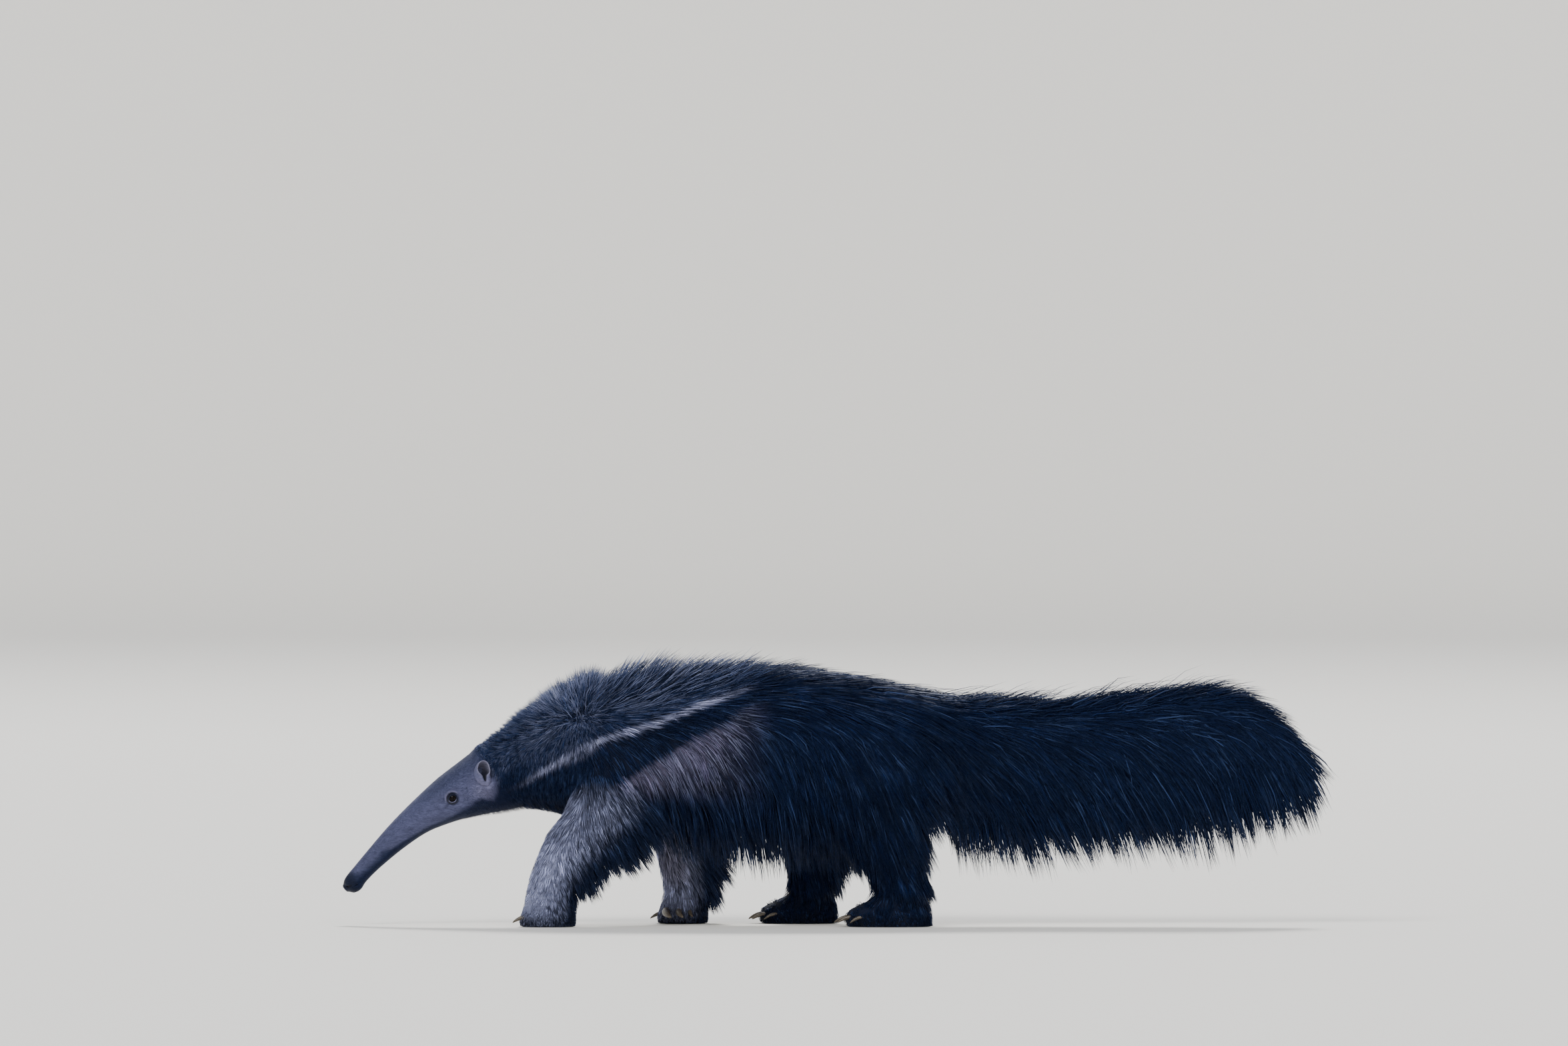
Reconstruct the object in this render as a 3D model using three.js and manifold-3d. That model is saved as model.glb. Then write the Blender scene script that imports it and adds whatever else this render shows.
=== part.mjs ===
// Giant anteater, adult, standing: a still, life-size model.
// Millimetres, +Z up, head towards -X, the animal's left side towards -Y, soles on Z = 0.
import * as THREE from "three";
import { mergeVertices } from "three/addons/utils/BufferGeometryUtils.js";
import Module from "manifold-3d";

const wasm = await Module();
wasm.setup();

// Driving dimensions
const GAP = 0.3; // clear space between touching pieces
const HEAD_PITCH = THREE.MathUtils.degToRad(38); // rise of the head's axis from the snout's tip
const SNOUT_TIP = new THREE.Vector3(-879.6, 0, 72);
const EYE_RADIUS = 9.5;
const EYE_ALONG = 248; // distance of the eye from the snout's tip, on the head's axis
const EYE_ABOVE = 5.6;
const EYE_OUT = 35.5;
const EAR_ALONG = 314;
const EAR_ABOVE = 6;
const EAR_OUT = 50;
const EAR_HEIGHT = 47;
const EAR_WIDTH = 27;
const EAR_DEPTH = 20;
const EAR_WALL = 3.2;
const EAR_RISE = 12; // of its middle over its root
const EAR_TURN = 0.35; // its opening turned ahead, and
const EAR_SPLAY = 0.22; // its tip leant out, in radians
const EAR_OPENING = { ahead: 4, out: 6.5 };

// Lids and brow fold: arcs round the eye, from the back of it over the top, in radians.
const LIDS = [
  { from: -0.15, to: Math.PI + 0.15, reach: 10, rise: 1.6 },
  { from: Math.PI + 0.35, to: 2 * Math.PI - 0.35, reach: 9.5, rise: 0.8 },
  { from: 0.5, to: 2.5, reach: 15.5, rise: -0.4 },
];
const LID_WIDTH = 4.6;
const LID_HEIGHT = 6;
const LID_SQUASH = 0.72; // how much lower than long the arcs are
const LID_OUT = EYE_RADIUS * 0.62;

// Muzzle: each piece's place on the head's axis, its radius and its stretch.
const LIP = { along: 13, above: -17, radius: 8, stretch: new THREE.Vector3(1.5, 1.35, 0.8) };
const NOSTRIL = [
  { along: 2, above: -3, out: 10.5, radius: 3.2, stretch: new THREE.Vector3(1.6, 0.9, 1) },
  { along: 8, above: -8, out: 14, radius: 2, stretch: new THREE.Vector3(2.4, 0.8, 0.7) },
];
const MOUTH = { along: 12, above: -13, stretch: new THREE.Vector3(26, 24, 1.1) };

const STANCE = 84; // half the distance between left and right feet
const WRIST = 58; // height of the cut between a leg and its foot
const SOLE_ROUND = 9;
const SLIVERS = [0.5, 0.35, 0.2, 0.12, 0.06, 0.03]; // sizes under which detail is merged away

// A row gives one cross-section of the body, its highest and lowest points and its half width. The
// head's are measured along its own axis, and over and under it.
const HEAD_ROWS = [
  { along: -5, over: 5, under: -12, half: 7 },
  { along: 3, over: 11, under: -20, half: 11.5 },
  { along: 16, over: 15.5, under: -22, half: 14.5 },
  { along: 34, over: 19.5, under: -17, half: 16 },
  { along: 68, over: 27, under: -13, half: 18 },
  { along: 122, over: 38, under: -11.6, half: 21.5 },
  { along: 174, over: 45.6, under: -15.6, half: 28 },
  { along: 222, over: 50.6, under: -30, half: 37 },
  { along: 250, over: 52.4, under: -42, half: 43 },
  { along: 288, over: 52.6, under: -61, half: 48 },
  { along: 317, over: 52.8, under: -77, half: 51 },
  { along: 342, over: 54.6, under: -91, half: 55 },
];

const NECK_ROWS = [
  { top: [-643.7, 325.6], bottom: [-554, 210.9], half: 56 },
  { top: [-577, 352], bottom: [-524, 205], half: 66 },
  { top: [-527, 383], bottom: [-500, 198], half: 82 },
  { top: [-470, 411], bottom: [-478, 190], half: 101 },
];

const TORSO_ROWS = [
  { top: [-470, 411], bottom: [-478, 190], half: 101 },
  { top: [-420, 426], bottom: [-425, 181], half: 117 },
  { top: [-350, 435], bottom: [-350, 176], half: 130 },
  { top: [-242, 449], bottom: [-242, 178], half: 136 },
  { top: [-122, 462], bottom: [-122, 186], half: 138 },
  { top: [-2, 452], bottom: [-2, 196], half: 136 },
  { top: [105, 434], bottom: [98, 208], half: 126 },
  { top: [165, 420], bottom: [142, 222], half: 106 },
  { top: [205, 406], bottom: [172, 245], half: 74 },
];

const TAIL_ROWS = [
  { top: [205, 406], bottom: [172, 245], half: 74 },
  { top: [274, 394], bottom: [250, 236], half: 52 },
  { top: [370, 391], bottom: [346, 232], half: 44 },
  { top: [478, 396], bottom: [454, 238], half: 40 },
  { top: [586, 408], bottom: [562, 252], half: 36 },
  { top: [680, 412], bottom: [668, 270], half: 30 },
  { top: [754, 390], bottom: [752, 284], half: 23 },
  { top: [812, 340], bottom: [806, 286], half: 12 },
];

// The rows of a leg run down it: top is its rear edge, bottom its front edge.
const FORELEG_LEFT_ROWS = [
  { top: [-320, 290], bottom: [-462, 286], half: 34 },
  { top: [-322, 214], bottom: [-490, 208], half: 42 },
  { top: [-362, 166], bottom: [-519, 166], half: 41 },
  { top: [-431, 106], bottom: [-545, 106], half: 36 },
  { top: [-463, WRIST], bottom: [-557, WRIST], half: 34 },
];

const FORELEG_RIGHT_ROWS = [
  { top: [-300, 290], bottom: [-448, 286], half: 34 },
  { top: [-268, 214], bottom: [-400, 208], half: 42 },
  { top: [-236, 166], bottom: [-338, 166], half: 40 },
  { top: [-228, 106], bottom: [-319, 106], half: 36 },
  { top: [-226, WRIST], bottom: [-311, WRIST], half: 34 },
];

const HINDLEG_LEFT_ROWS = [
  { top: [150, 330], bottom: [8, 330], half: 38 },
  { top: [152, 286], bottom: [-28, 280], half: 48 },
  { top: [146, 226], bottom: [-22, 222], half: 50 },
  { top: [144, 166], bottom: [14, 166], half: 44 },
  { top: [156, 106], bottom: [54, 106], half: 38 },
  { top: [168, WRIST], bottom: [70, WRIST], half: 35 },
];

const HINDLEG_RIGHT_ROWS = [
  { top: [118, 330], bottom: [-40, 330], half: 38 },
  { top: [100, 286], bottom: [-80, 280], half: 48 },
  { top: [70, 226], bottom: [-92, 222], half: 50 },
  { top: [34, 166], bottom: [-94, 166], half: 44 },
  { top: [4, 106], bottom: [-86, 106], half: 38 },
  { top: [0, WRIST], bottom: [-84, WRIST], half: 35 },
];

// Feet: heel and toe of the sole's print, and half its width.
const FOREFOOT = { heel: -4, toe: 6, half: 36 };
const HINDFOOT = { heel: 2, toe: 46, half: 34 };

// Claws of a forefoot fold inwards over the palm, set back from the toe one behind another. The
// outermost is a short nub at the front.
const FORE_CLAWS = [
  { back: 60, length: 34, width: 12 },
  { back: 40, length: 60, width: 17 },
  { back: 17, length: 74, width: 21 },
];
const OUTER_CLAW = { place: -0.5, length: 24, width: 13 };

// Claws of a hind foot point ahead: place on the foot as a share of its half width, inner side
// positive.
const HIND_CLAWS = [
  { place: 0.8, length: 22, width: 11 },
  { place: 0.42, length: 27, width: 12.5 },
  { place: 0.02, length: 29, width: 13 },
  { place: -0.38, length: 27, width: 12.5 },
  { place: -0.76, length: 20, width: 11 },
];
const CLAW_HEIGHT = 18; // of a claw's root over the floor
const CLAW_SUNK = 9; // depth of its root in the foot
const CLAW_DEPTH = 0.85; // of a claw from back to palm, as a share of its width
const CLAW_TAPER = 0.5;

// Coat: each tier is a row of locks. Its place round the section is in degrees from the side to the
// top. Lies are in degrees from straight back towards straight down, where a lock leaves the skin
// (lie) and at its tip (fall), and change evenly along the tier, as its lengths do.
const LOCK_SINK = 9; // depth of a lock's root under the skin
const LOCK_LIFT = 0.115; // rise from the skin for each unit of length, so that tiers lie on tiers
const LOCK_THICK = 8;
const CREST_THICK = 12;
const CREST_LEAN = 13; // how far a crest lock's tip strays to either side
const LOCK_ROLL = 0.16; // turn about its own length, so that neighbours overlap like tiles
const DRAW_IN = 0.2; // how fast hair that hangs free closes in on the middle plane
const CREST_APART = 9; // half the distance between the two rows of the mane
const FLOOR_CLEAR = 6;

const NECK_TIERS = [
  {
    crest: true,
    from: 0.26,
    to: 0.97,
    count: 10,
    lie: [-150, -128, -100],
    fall: [-142, -120, -90],
    length: [28, 37, 54],
    width: [40, 30],
  },
  {
    angle: 52,
    from: 0.4,
    to: 0.95,
    count: 3,
    lie: [-146, -110],
    fall: [-158, -120],
    length: [46, 60],
    width: [44, 44],
    lift: 0.17,
  },
];
const TORSO_TIERS = [
  {
    crest: true,
    from: 0.012,
    to: 0.56,
    count: 18,
    lie: [-88, -64, -46, -26],
    fall: [-80, -50, -28, -8],
    length: [60, 72, 86, 98],
    width: [28, 48, 50, 50],
  },
  {
    crest: true,
    from: 0.6,
    to: 0.98,
    count: 6,
    lie: [-16, -12],
    fall: [2, 10],
    length: [112, 108],
    width: [44, 44],
  },
  {
    angle: 56,
    from: 0.04,
    to: 0.3,
    count: 3,
    lie: [-62, -28],
    fall: [-48, -14],
    length: [70, 90],
    width: [50, 54],
    lift: 0.17,
  },
  {
    angle: 56,
    from: 0.38,
    to: 0.97,
    count: 5,
    lie: [-8, 6],
    fall: [8, 24],
    length: [118, 104],
    width: [58, 58],
    lift: 0.16,
  },
  {
    angle: 26,
    from: 0.3,
    to: 0.97,
    count: 6,
    lie: [30, 24],
    fall: [44, 44],
    length: [112, 112],
    width: [56, 56],
    lift: 0.16,
  },
  {
    angle: -4,
    from: 0.2,
    to: 0.95,
    count: 9,
    lie: [62, 48],
    fall: [74, 62],
    length: [112, 128],
    width: [54, 54],
    lift: 0.15,
  },
  {
    angle: -28,
    from: 0.27,
    to: 0.66,
    count: 8,
    lie: [76, 72],
    fall: [84, 78],
    length: [116, 124],
    width: [46, 46],
    lift: 0.12,
  },
  {
    angle: -54,
    from: 0.3,
    to: 0.64,
    count: 7,
    lie: [78, 74],
    fall: [88, 82],
    length: [92, 98],
    width: [44, 44],
    lift: 0.08,
  },
];
const TAIL_TIERS = [
  {
    crest: true,
    from: 0.02,
    to: 0.96,
    count: 12,
    lie: [-22, -16, -22, -8],
    fall: [2, 2, 6, 34],
    length: [108, 84],
    width: [44, 42],
  },
  {
    angle: 52,
    from: 0.03,
    to: 0.93,
    count: 9,
    lie: [34, 26],
    fall: [62, 58],
    length: [150, 116],
    width: [54, 50],
  },
  {
    angle: 4,
    from: 0.02,
    to: 0.95,
    count: 9,
    lie: [56, 48],
    fall: [67, 70],
    length: [152, 112],
    width: [52, 48],
  },
  {
    angle: -50,
    from: 0.04,
    to: 0.96,
    count: 10,
    lie: [62, 56],
    fall: [70, 74],
    length: [152, 108],
    width: [50, 46],
  },
  {
    keel: true,
    from: 0.05,
    to: 0.94,
    count: 10,
    lie: [58, 56],
    fall: [66, 70],
    length: [160, 118],
    width: [52, 46],
  },
];
const TAIL_END = { count: 6, lie: [-18, 66], fall: [-6, 78], length: [60, 104], width: 34 };
const FORELEG_TIERS = {
  left: [
    {
      crest: true,
      from: 0.44,
      to: 0.93,
      count: 6,
      lie: [34, 44],
      fall: [66, 74],
      length: [76, 58],
      width: [40, 36],
    },
  ],
  right: [
    {
      crest: true,
      from: 0.38,
      to: 0.93,
      count: 6,
      lie: [30, 40],
      fall: [58, 70],
      length: [98, 70],
      width: [42, 38],
    },
  ],
};
const HINDLEG_TIERS = [
  {
    crest: true,
    from: 0.34,
    to: 0.86,
    count: 5,
    lie: [42, 48],
    fall: [74, 78],
    length: [96, 66],
    width: [42, 38],
  },
  {
    angle: 40,
    from: 0.42,
    to: 0.74,
    count: 2,
    lie: [60, 66],
    fall: [74, 80],
    length: [110, 84],
    width: [56, 50],
    lift: 0.14,
  },
  {
    angle: -5,
    from: 0.36,
    to: 0.7,
    count: 2,
    lie: [66, 72],
    fall: [78, 84],
    length: [116, 92],
    width: [58, 52],
    lift: 0.14,
  },
  {
    angle: -48,
    from: 0.42,
    to: 0.72,
    count: 2,
    lie: [76, 82],
    fall: [84, 90],
    length: [108, 84],
    width: [52, 46],
    lift: 0.14,
  },
];

// Materials
function finish(colour, roughness) {
  return new THREE.MeshStandardMaterial({ color: colour, roughness, metalness: 0 });
}
const SHORT_COAT = finish("#6d6a70", 0.85);
const LONG_COAT = finish("#25262c", 0.7);
const TAIL_COAT = finish("#1e2027", 0.7);
const LEG_COAT = finish("#3a3a42", 0.75);
const EAR_SKIN = finish("#4d494e", 0.8);
const EYE = finish("#0d0b0b", 0.1);
const HORN = finish("#3b342c", 0.4);

// Solids and geometries
function solidOf(geometry) {
  const bare = geometry.clone();
  bare.deleteAttribute("normal");
  bare.deleteAttribute("uv");
  const merged = mergeVertices(bare, 1e-3);
  return new wasm.Manifold(
    new wasm.Mesh({
      numProp: 3,
      vertProperties: merged.attributes.position.array,
      triVerts: new Uint32Array(merged.index.array),
    }),
  );
}

function geometryOf(solid) {
  const mesh = solid.getMesh();
  const geometry = new THREE.BufferGeometry();
  geometry.setAttribute("position", new THREE.BufferAttribute(mesh.vertProperties, 3));
  geometry.setIndex(new THREE.BufferAttribute(mesh.triVerts, 1));
  geometry.computeVertexNormals();
  return geometry;
}

// Whether each edge joins just two faces, also once its ends are rounded as a file rounds them.
function edgesPair(solid) {
  const { vertProperties, triVerts } = solid.getMesh();
  const key = (v) => [0, 1, 2].map((k) => Math.round(vertProperties[3 * v + k] * 1e3)).join();
  const keys = Array.from({ length: vertProperties.length / 3 }, (_, v) => key(v));
  const uses = new Map();
  for (let i = 0; i < triVerts.length; i += 3) {
    const corners = [0, 1, 2].map((k) => keys[triVerts[i + k]]);
    if (new Set(corners).size < 3) continue;
    for (const k of [0, 1, 2]) {
      const edge = [corners[k], corners[(k + 1) % 3]].sort().join(";");
      uses.set(edge, (uses.get(edge) ?? 0) + 1);
    }
  }
  return [...uses.values()].every((count) => count === 2);
}

// Keeps the largest closed surface, so a sealed hollow is filled and a loose scrap is dropped.
// Slivers are merged first, up to the first of a few sizes that leaves every edge sound.
function oneBody(solid) {
  const tries = SLIVERS.map((size) => {
    const bodies = solid.simplify(size).decompose();
    bodies.sort((a, b) => b.volume() - a.volume());
    return bodies[0];
  });
  return tries.find(edgesPair) ?? tries[0];
}

// Forms: lofts whose cross-sections follow rows
const UP = new THREE.Vector3(0, 0, 1);
const AHEAD = new THREE.Vector3(-1, 0, 0);

class Form {
  constructor(rows, { y = 0, power = 2.2, pear = 0 } = {}) {
    this.y = y;
    this.power = power;
    this.pear = pear; // how much wider a section is near its top than near its bottom
    const spline = (points) => new THREE.CatmullRomCurve3(points, false, "catmullrom", 0.5);
    this.tops = spline(rows.map((row) => new THREE.Vector3(row.top[0], 0, row.top[1])));
    this.bottoms = spline(rows.map((row) => new THREE.Vector3(row.bottom[0], 0, row.bottom[1])));
    this.sizes = spline(rows.map((row) => new THREE.Vector3(row.half, 0, 0)));
  }

  section(t) {
    const top = this.tops.getPoint(t);
    const bottom = this.bottoms.getPoint(t);
    const size = this.sizes.getPoint(t);
    const up = top.clone().sub(bottom).normalize();
    const middle = top.clone().add(bottom).multiplyScalar(0.5);
    const along = new THREE.Vector3(up.z, 0, -up.x);
    return { middle, up, along, rise: top.distanceTo(bottom) / 2, half: size.x };
  }

  // The point of the surface at a share t of the form's length and an angle round it,
  // 0 to the right side, a quarter turn to the top.
  point(t, angle, grow = 0) {
    const { middle, up, rise, half } = this.section(t);
    const c = Math.cos(angle);
    const s = Math.sin(angle);
    const across = Math.sign(c) * Math.abs(c) ** (2 / this.power);
    const high = Math.sign(s) * Math.abs(s) ** (2 / this.power);
    const wide = half * (1 + this.pear * high);
    const place = middle.clone().addScaledVector(up, high * (rise + grow));
    place.y += this.y + across * (wide + grow);
    return place;
  }

  // The height of the form's back at a place along the body.
  topAt(x) {
    if (this.tops.getPoint(0).x > x || this.tops.getPoint(1).x < x) return -Infinity;
    let low = 0;
    let high = 1;
    for (let i = 0; i < 12; i++) {
      const t = (low + high) / 2;
      if (this.tops.getPoint(t).x < x) low = t;
      else high = t;
    }
    return this.tops.getPoint(low).z;
  }

  // How far from the body's middle plane the surface stands at a place of the side view, or 0
  // where the form isn't there.
  outAt(x, z, side) {
    if (this.y !== 0 && Math.sign(this.y) !== side) return 0;
    const ahead = (t) => {
      const { middle, along } = this.section(t);
      return (x - middle.x) * along.x + (z - middle.z) * along.z;
    };
    if (ahead(0) < 0 || ahead(1) > 0) return 0;
    let low = 0;
    let high = 1;
    for (let i = 0; i < 12; i++) {
      const t = (low + high) / 2;
      if (ahead(t) > 0) low = t;
      else high = t;
    }
    const { middle, up, rise, half } = this.section(low);
    const high01 = ((x - middle.x) * up.x + (z - middle.z) * up.z) / rise;
    if (Math.abs(high01) >= 1) return 0;
    const across = (1 - Math.abs(high01) ** this.power) ** (1 / this.power);
    return Math.abs(this.y) + half * (1 + this.pear * high01) * across;
  }

  normal(t, angle) {
    const step = 1e-3;
    const after = this.point(Math.min(t + step, 1), angle);
    const along = after.sub(this.point(Math.max(t - step, 0), angle));
    const around = this.point(t, angle + step).sub(this.point(t, angle - step));
    return around.cross(along).normalize();
  }

  // A closed solid of the form between two shares of its length, both ends flat.
  solid({ from = 0, to = 1, rings = 12, sides = 16, grow = 0, startGap = 0, endGap = 0 } = {}) {
    const geometry = new THREE.SphereGeometry(1, sides, rings + 2);
    const place = geometry.attributes.position;
    const columns = sides + 1;
    for (let i = 0; i < place.count; i++) {
      const ring = Math.floor(i / columns);
      const angle = -((i % columns) % sides) * ((2 * Math.PI) / sides);
      const step = THREE.MathUtils.clamp(ring - 1, 0, rings);
      const t = THREE.MathUtils.lerp(from, to, step / rings);
      const pole = ring === 0 || ring === rings + 2;
      const p = pole ? this.section(t).middle : this.point(t, angle, grow);
      if (pole) p.y += this.y;
      if (step === 0) p.addScaledVector(this.section(t).along, startGap);
      if (step === rings) p.addScaledVector(this.section(t).along, -endGap);
      place.setXYZ(i, p.x, p.y, p.z);
    }
    return solidOf(geometry);
  }
}

// The head's rows stand on its own axis, which rises from the snout's tip.
const HEAD_AXIS = new THREE.Vector3(Math.cos(HEAD_PITCH), 0, Math.sin(HEAD_PITCH));
const HEAD_UP = new THREE.Vector3(-Math.sin(HEAD_PITCH), 0, Math.cos(HEAD_PITCH));

function onHead(along, above, out = 0) {
  const p = SNOUT_TIP.clone().addScaledVector(HEAD_AXIS, along).addScaledVector(HEAD_UP, above);
  p.y += out;
  return p;
}

function headRow(row) {
  const top = onHead(row.along, row.over);
  const bottom = onHead(row.along, row.under);
  return { top: [top.x, top.z], bottom: [bottom.x, bottom.z], half: row.half };
}

// A tapered piece along a curve, made from a cone. Its thickness lies along face, its width
// across that, and swell says how full it is before it tapers.
function taperedPiece(curve, { width, thick, face, sides, steps = 4, swell, grow = 0 }) {
  const geometry = new THREE.ConeGeometry(1, 1, sides, steps);
  const place = geometry.attributes.position;
  for (let i = 0; i < place.count; i++) {
    const s = THREE.MathUtils.clamp(place.getY(i) + 0.5, 0, 1);
    const tip = s > 0.999;
    const spread = tip ? 0 : 1 / (1 - s);
    const tangent = curve.getTangent(Math.min(s, 0.99));
    const side = tangent.clone().cross(face(s)).normalize();
    const out = side.clone().cross(tangent);
    const p = curve.getPoint(s);
    p.addScaledVector(tangent, tip ? grow : 0);
    p.addScaledVector(side, place.getX(i) * spread * ((width / 2) * swell(s) + grow));
    p.addScaledVector(out, place.getZ(i) * spread * ((thick / 2) * swell(s) + grow));
    place.setXYZ(i, p.x, p.y, p.z);
  }
  return solidOf(geometry);
}

function claw(line, width, thickness, grow = 0) {
  const face = () => thickness;
  const swell = (s) => (1 - s) ** CLAW_TAPER;
  return taperedPiece(line, { width, thick: width * CLAW_DEPTH, face, sides: 6, steps: 3, swell, grow });
}

function ball(radius, centre, stretch = new THREE.Vector3(1, 1, 1), sides = 12, rings = 8) {
  const geometry = new THREE.SphereGeometry(radius, sides, rings);
  geometry.scale(stretch.x, stretch.y, stretch.z);
  geometry.rotateY(-HEAD_PITCH);
  geometry.translate(centre.x, centre.y, centre.z);
  return solidOf(geometry);
}

// A spindle laid along a curve: lids, lips and folds of the skin.
function spindle(points, width, rise) {
  const curve = new THREE.CatmullRomCurve3(points);
  const geometry = new THREE.SphereGeometry(1, 5, 7);
  const place = geometry.attributes.position;
  for (let i = 0; i < place.count; i++) {
    const s = 0.5 - place.getY(i) / 2;
    const tangent = curve.getTangent(THREE.MathUtils.clamp(s, 0.01, 0.99));
    const out = new THREE.Vector3(0, Math.sign(points[1].y), 0);
    const side = out.clone().cross(tangent).normalize();
    const p = curve.getPoint(s);
    p.addScaledVector(side, (place.getX(i) * width) / 2);
    p.addScaledVector(out, (place.getZ(i) * rise) / 2);
    place.setXYZ(i, p.x, p.y, p.z);
  }
  return solidOf(geometry);
}

// The trunk: head, neck, torso and tail share the planes where they meet.
const headForm = new Form(HEAD_ROWS.map(headRow), { power: 2.1 });
const neckForm = new Form(NECK_ROWS, { power: 2.2, pear: -0.06 });
const torsoForm = new Form(TORSO_ROWS, { power: 2.3, pear: -0.04 });
const tailForm = new Form(TAIL_ROWS, { power: 2.1, pear: 0.3 });

// A form enlarged all round, to cut its neighbours clear of it.
const GROWN = { grow: 1.5 * GAP, startGap: -GAP, endGap: -GAP };

const SIDES = { left: -1, right: 1 };
const LEGS = {
  foreleg_left: { rows: FORELEG_LEFT_ROWS, side: -1 },
  foreleg_right: { rows: FORELEG_RIGHT_ROWS, side: 1 },
  hindleg_left: { rows: HINDLEG_LEFT_ROWS, side: -1 },
  hindleg_right: { rows: HINDLEG_RIGHT_ROWS, side: 1 },
};

const solids = {};

function makeTrunk() {
  solids.neck = neckForm.solid({ rings: 5, sides: 18, startGap: GAP });
  solids.torso = torsoForm.solid({ rings: 14, sides: 18, startGap: GAP });
  solids.tail = tailForm.solid({ rings: 12, sides: 12, startGap: GAP });
}

// Head: the loft, with its eye sockets, mouth, nostrils, lids and lower lip
function eyeCentre(side) {
  return onHead(EYE_ALONG, EYE_ABOVE, side * EYE_OUT);
}

function lidArc(side, { from, to, reach, rise }) {
  const points = [0, 1, 2, 3, 4].map((i) => {
    const a = THREE.MathUtils.lerp(from, to, i / 4);
    const bulge = rise * Math.sin((Math.PI * i) / 4);
    return onHead(
      EYE_ALONG + Math.cos(a) * reach,
      EYE_ABOVE + Math.sin(a) * reach * LID_SQUASH,
      side * (EYE_OUT + LID_OUT + bulge),
    );
  });
  return spindle(points, LID_WIDTH, LID_HEIGHT);
}

function makeHead() {
  let head = headForm.solid({ rings: 17, sides: 18 });
  head = head.add(ball(LIP.radius, onHead(LIP.along, LIP.above), LIP.stretch, 10, 6));
  for (const side of Object.values(SIDES)) {
    for (const lid of LIDS) head = head.add(lidArc(side, lid));
    head = head.subtract(ball(EYE_RADIUS + 1.5 * GAP, eyeCentre(side)));
    for (const { radius, along, above, out, stretch } of NOSTRIL) {
      head = head.subtract(ball(radius, onHead(along, above, side * out), stretch, 8, 5));
    }
  }
  const mouth = ball(1, onHead(MOUTH.along, MOUTH.above), MOUTH.stretch, 12, 4);
  solids.head = oneBody(head.subtract(mouth));
}

// An ear is a shell, thinned from the front and outside, so that it opens as a cup.
function earShell(side, wall) {
  const geometry = new THREE.SphereGeometry(1, 12, 7);
  geometry.scale(EAR_WIDTH / 2 - wall, EAR_DEPTH / 2 - wall, EAR_HEIGHT * 0.56 - wall);
  geometry.rotateZ(side * EAR_TURN);
  geometry.rotateX(side * -EAR_SPLAY);
  const root = onHead(EAR_ALONG, EAR_ABOVE, side * EAR_OUT);
  const open = wall > 0 ? EAR_OPENING : { ahead: 0, out: 0 };
  geometry.translate(root.x - open.ahead, root.y + side * open.out, root.z + EAR_RISE);
  return solidOf(geometry);
}

function makeEyesAndEars() {
  const headGrown = headForm.solid({ rings: 17, sides: 18, ...GROWN });
  const neckGrown = neckForm.solid({ rings: 5, sides: 18, ...GROWN });
  for (const [name, side] of Object.entries(SIDES)) {
    solids["eye_" + name] = ball(EYE_RADIUS, eyeCentre(side));
    const cup = earShell(side, 0).subtract(earShell(side, EAR_WALL));
    solids["ear_" + name] = oneBody(cup.subtract(headGrown).subtract(neckGrown));
  }
}

// Legs: lofts whose tops are cut to the torso's surface
function makeLegs() {
  const torsoGrown = torsoForm.solid({ rings: 14, sides: 18, ...GROWN });
  const neckGrown = neckForm.solid({ rings: 5, sides: 18, ...GROWN });
  for (const [name, leg] of Object.entries(LEGS)) {
    leg.form = new Form(leg.rows, { y: leg.side * STANCE, power: 2.1 });
    const whole = leg.form.solid({ rings: 8, sides: 12, endGap: GAP });
    solids[name] = oneBody(whole.subtract(torsoGrown).subtract(neckGrown));
  }
}

// Feet: each a loft from the wrist or heel down to a flat sole, with its claws set in pockets
function footForm(leg, plan) {
  const wrist = leg.rows[leg.rows.length - 1];
  const rear = wrist.top[0] + plan.heel;
  const front = wrist.bottom[0] - plan.toe;
  const rows = [
    { z: WRIST, rear: wrist.top[0], front: wrist.bottom[0], half: wrist.half },
    { z: WRIST * 0.6, rear: rear + 2, front: front + plan.toe * 0.3, half: plan.half },
    { z: SOLE_ROUND * 1.6, rear: rear + 2, front: front - 4, half: plan.half + 2 },
    { z: SOLE_ROUND * 0.5, rear: rear, front: front - 3, half: plan.half + 1 },
    { z: 0, rear: rear - 5, front: front + 3, half: plan.half - 4 },
  ].map((row) => ({ top: [row.rear, row.z], bottom: [row.front, row.z], half: row.half }));
  return new Form(rows, { y: leg.side * STANCE, power: 2.4 });
}

// A claw's middle line, from its root in the foot through its bend to its tip
function clawLine(root, middle, tip) {
  return new THREE.QuadraticBezierCurve3(root, root.clone().add(middle), root.clone().add(tip));
}

function foldedClaw(leg, form, claw) {
  const inward = -leg.side;
  const heelward = form.point(0.5, Math.PI * 1.5).x + claw.back;
  const share = (claw.back / (form.section(0.5).rise * 2)) * 2 - 1;
  const flank = form.section(0.5).half * Math.sqrt(Math.max(1 - share ** 2, 0.1));
  const root = new THREE.Vector3(heelward, leg.side * (STANCE - flank + CLAW_SUNK), CLAW_HEIGHT + 4);
  return clawLine(
    root,
    new THREE.Vector3(-claw.length * 0.12, inward * claw.length * 0.55, 2),
    new THREE.Vector3(claw.length * 0.2, inward * claw.length * 0.9, 6 - CLAW_HEIGHT),
  );
}

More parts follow.
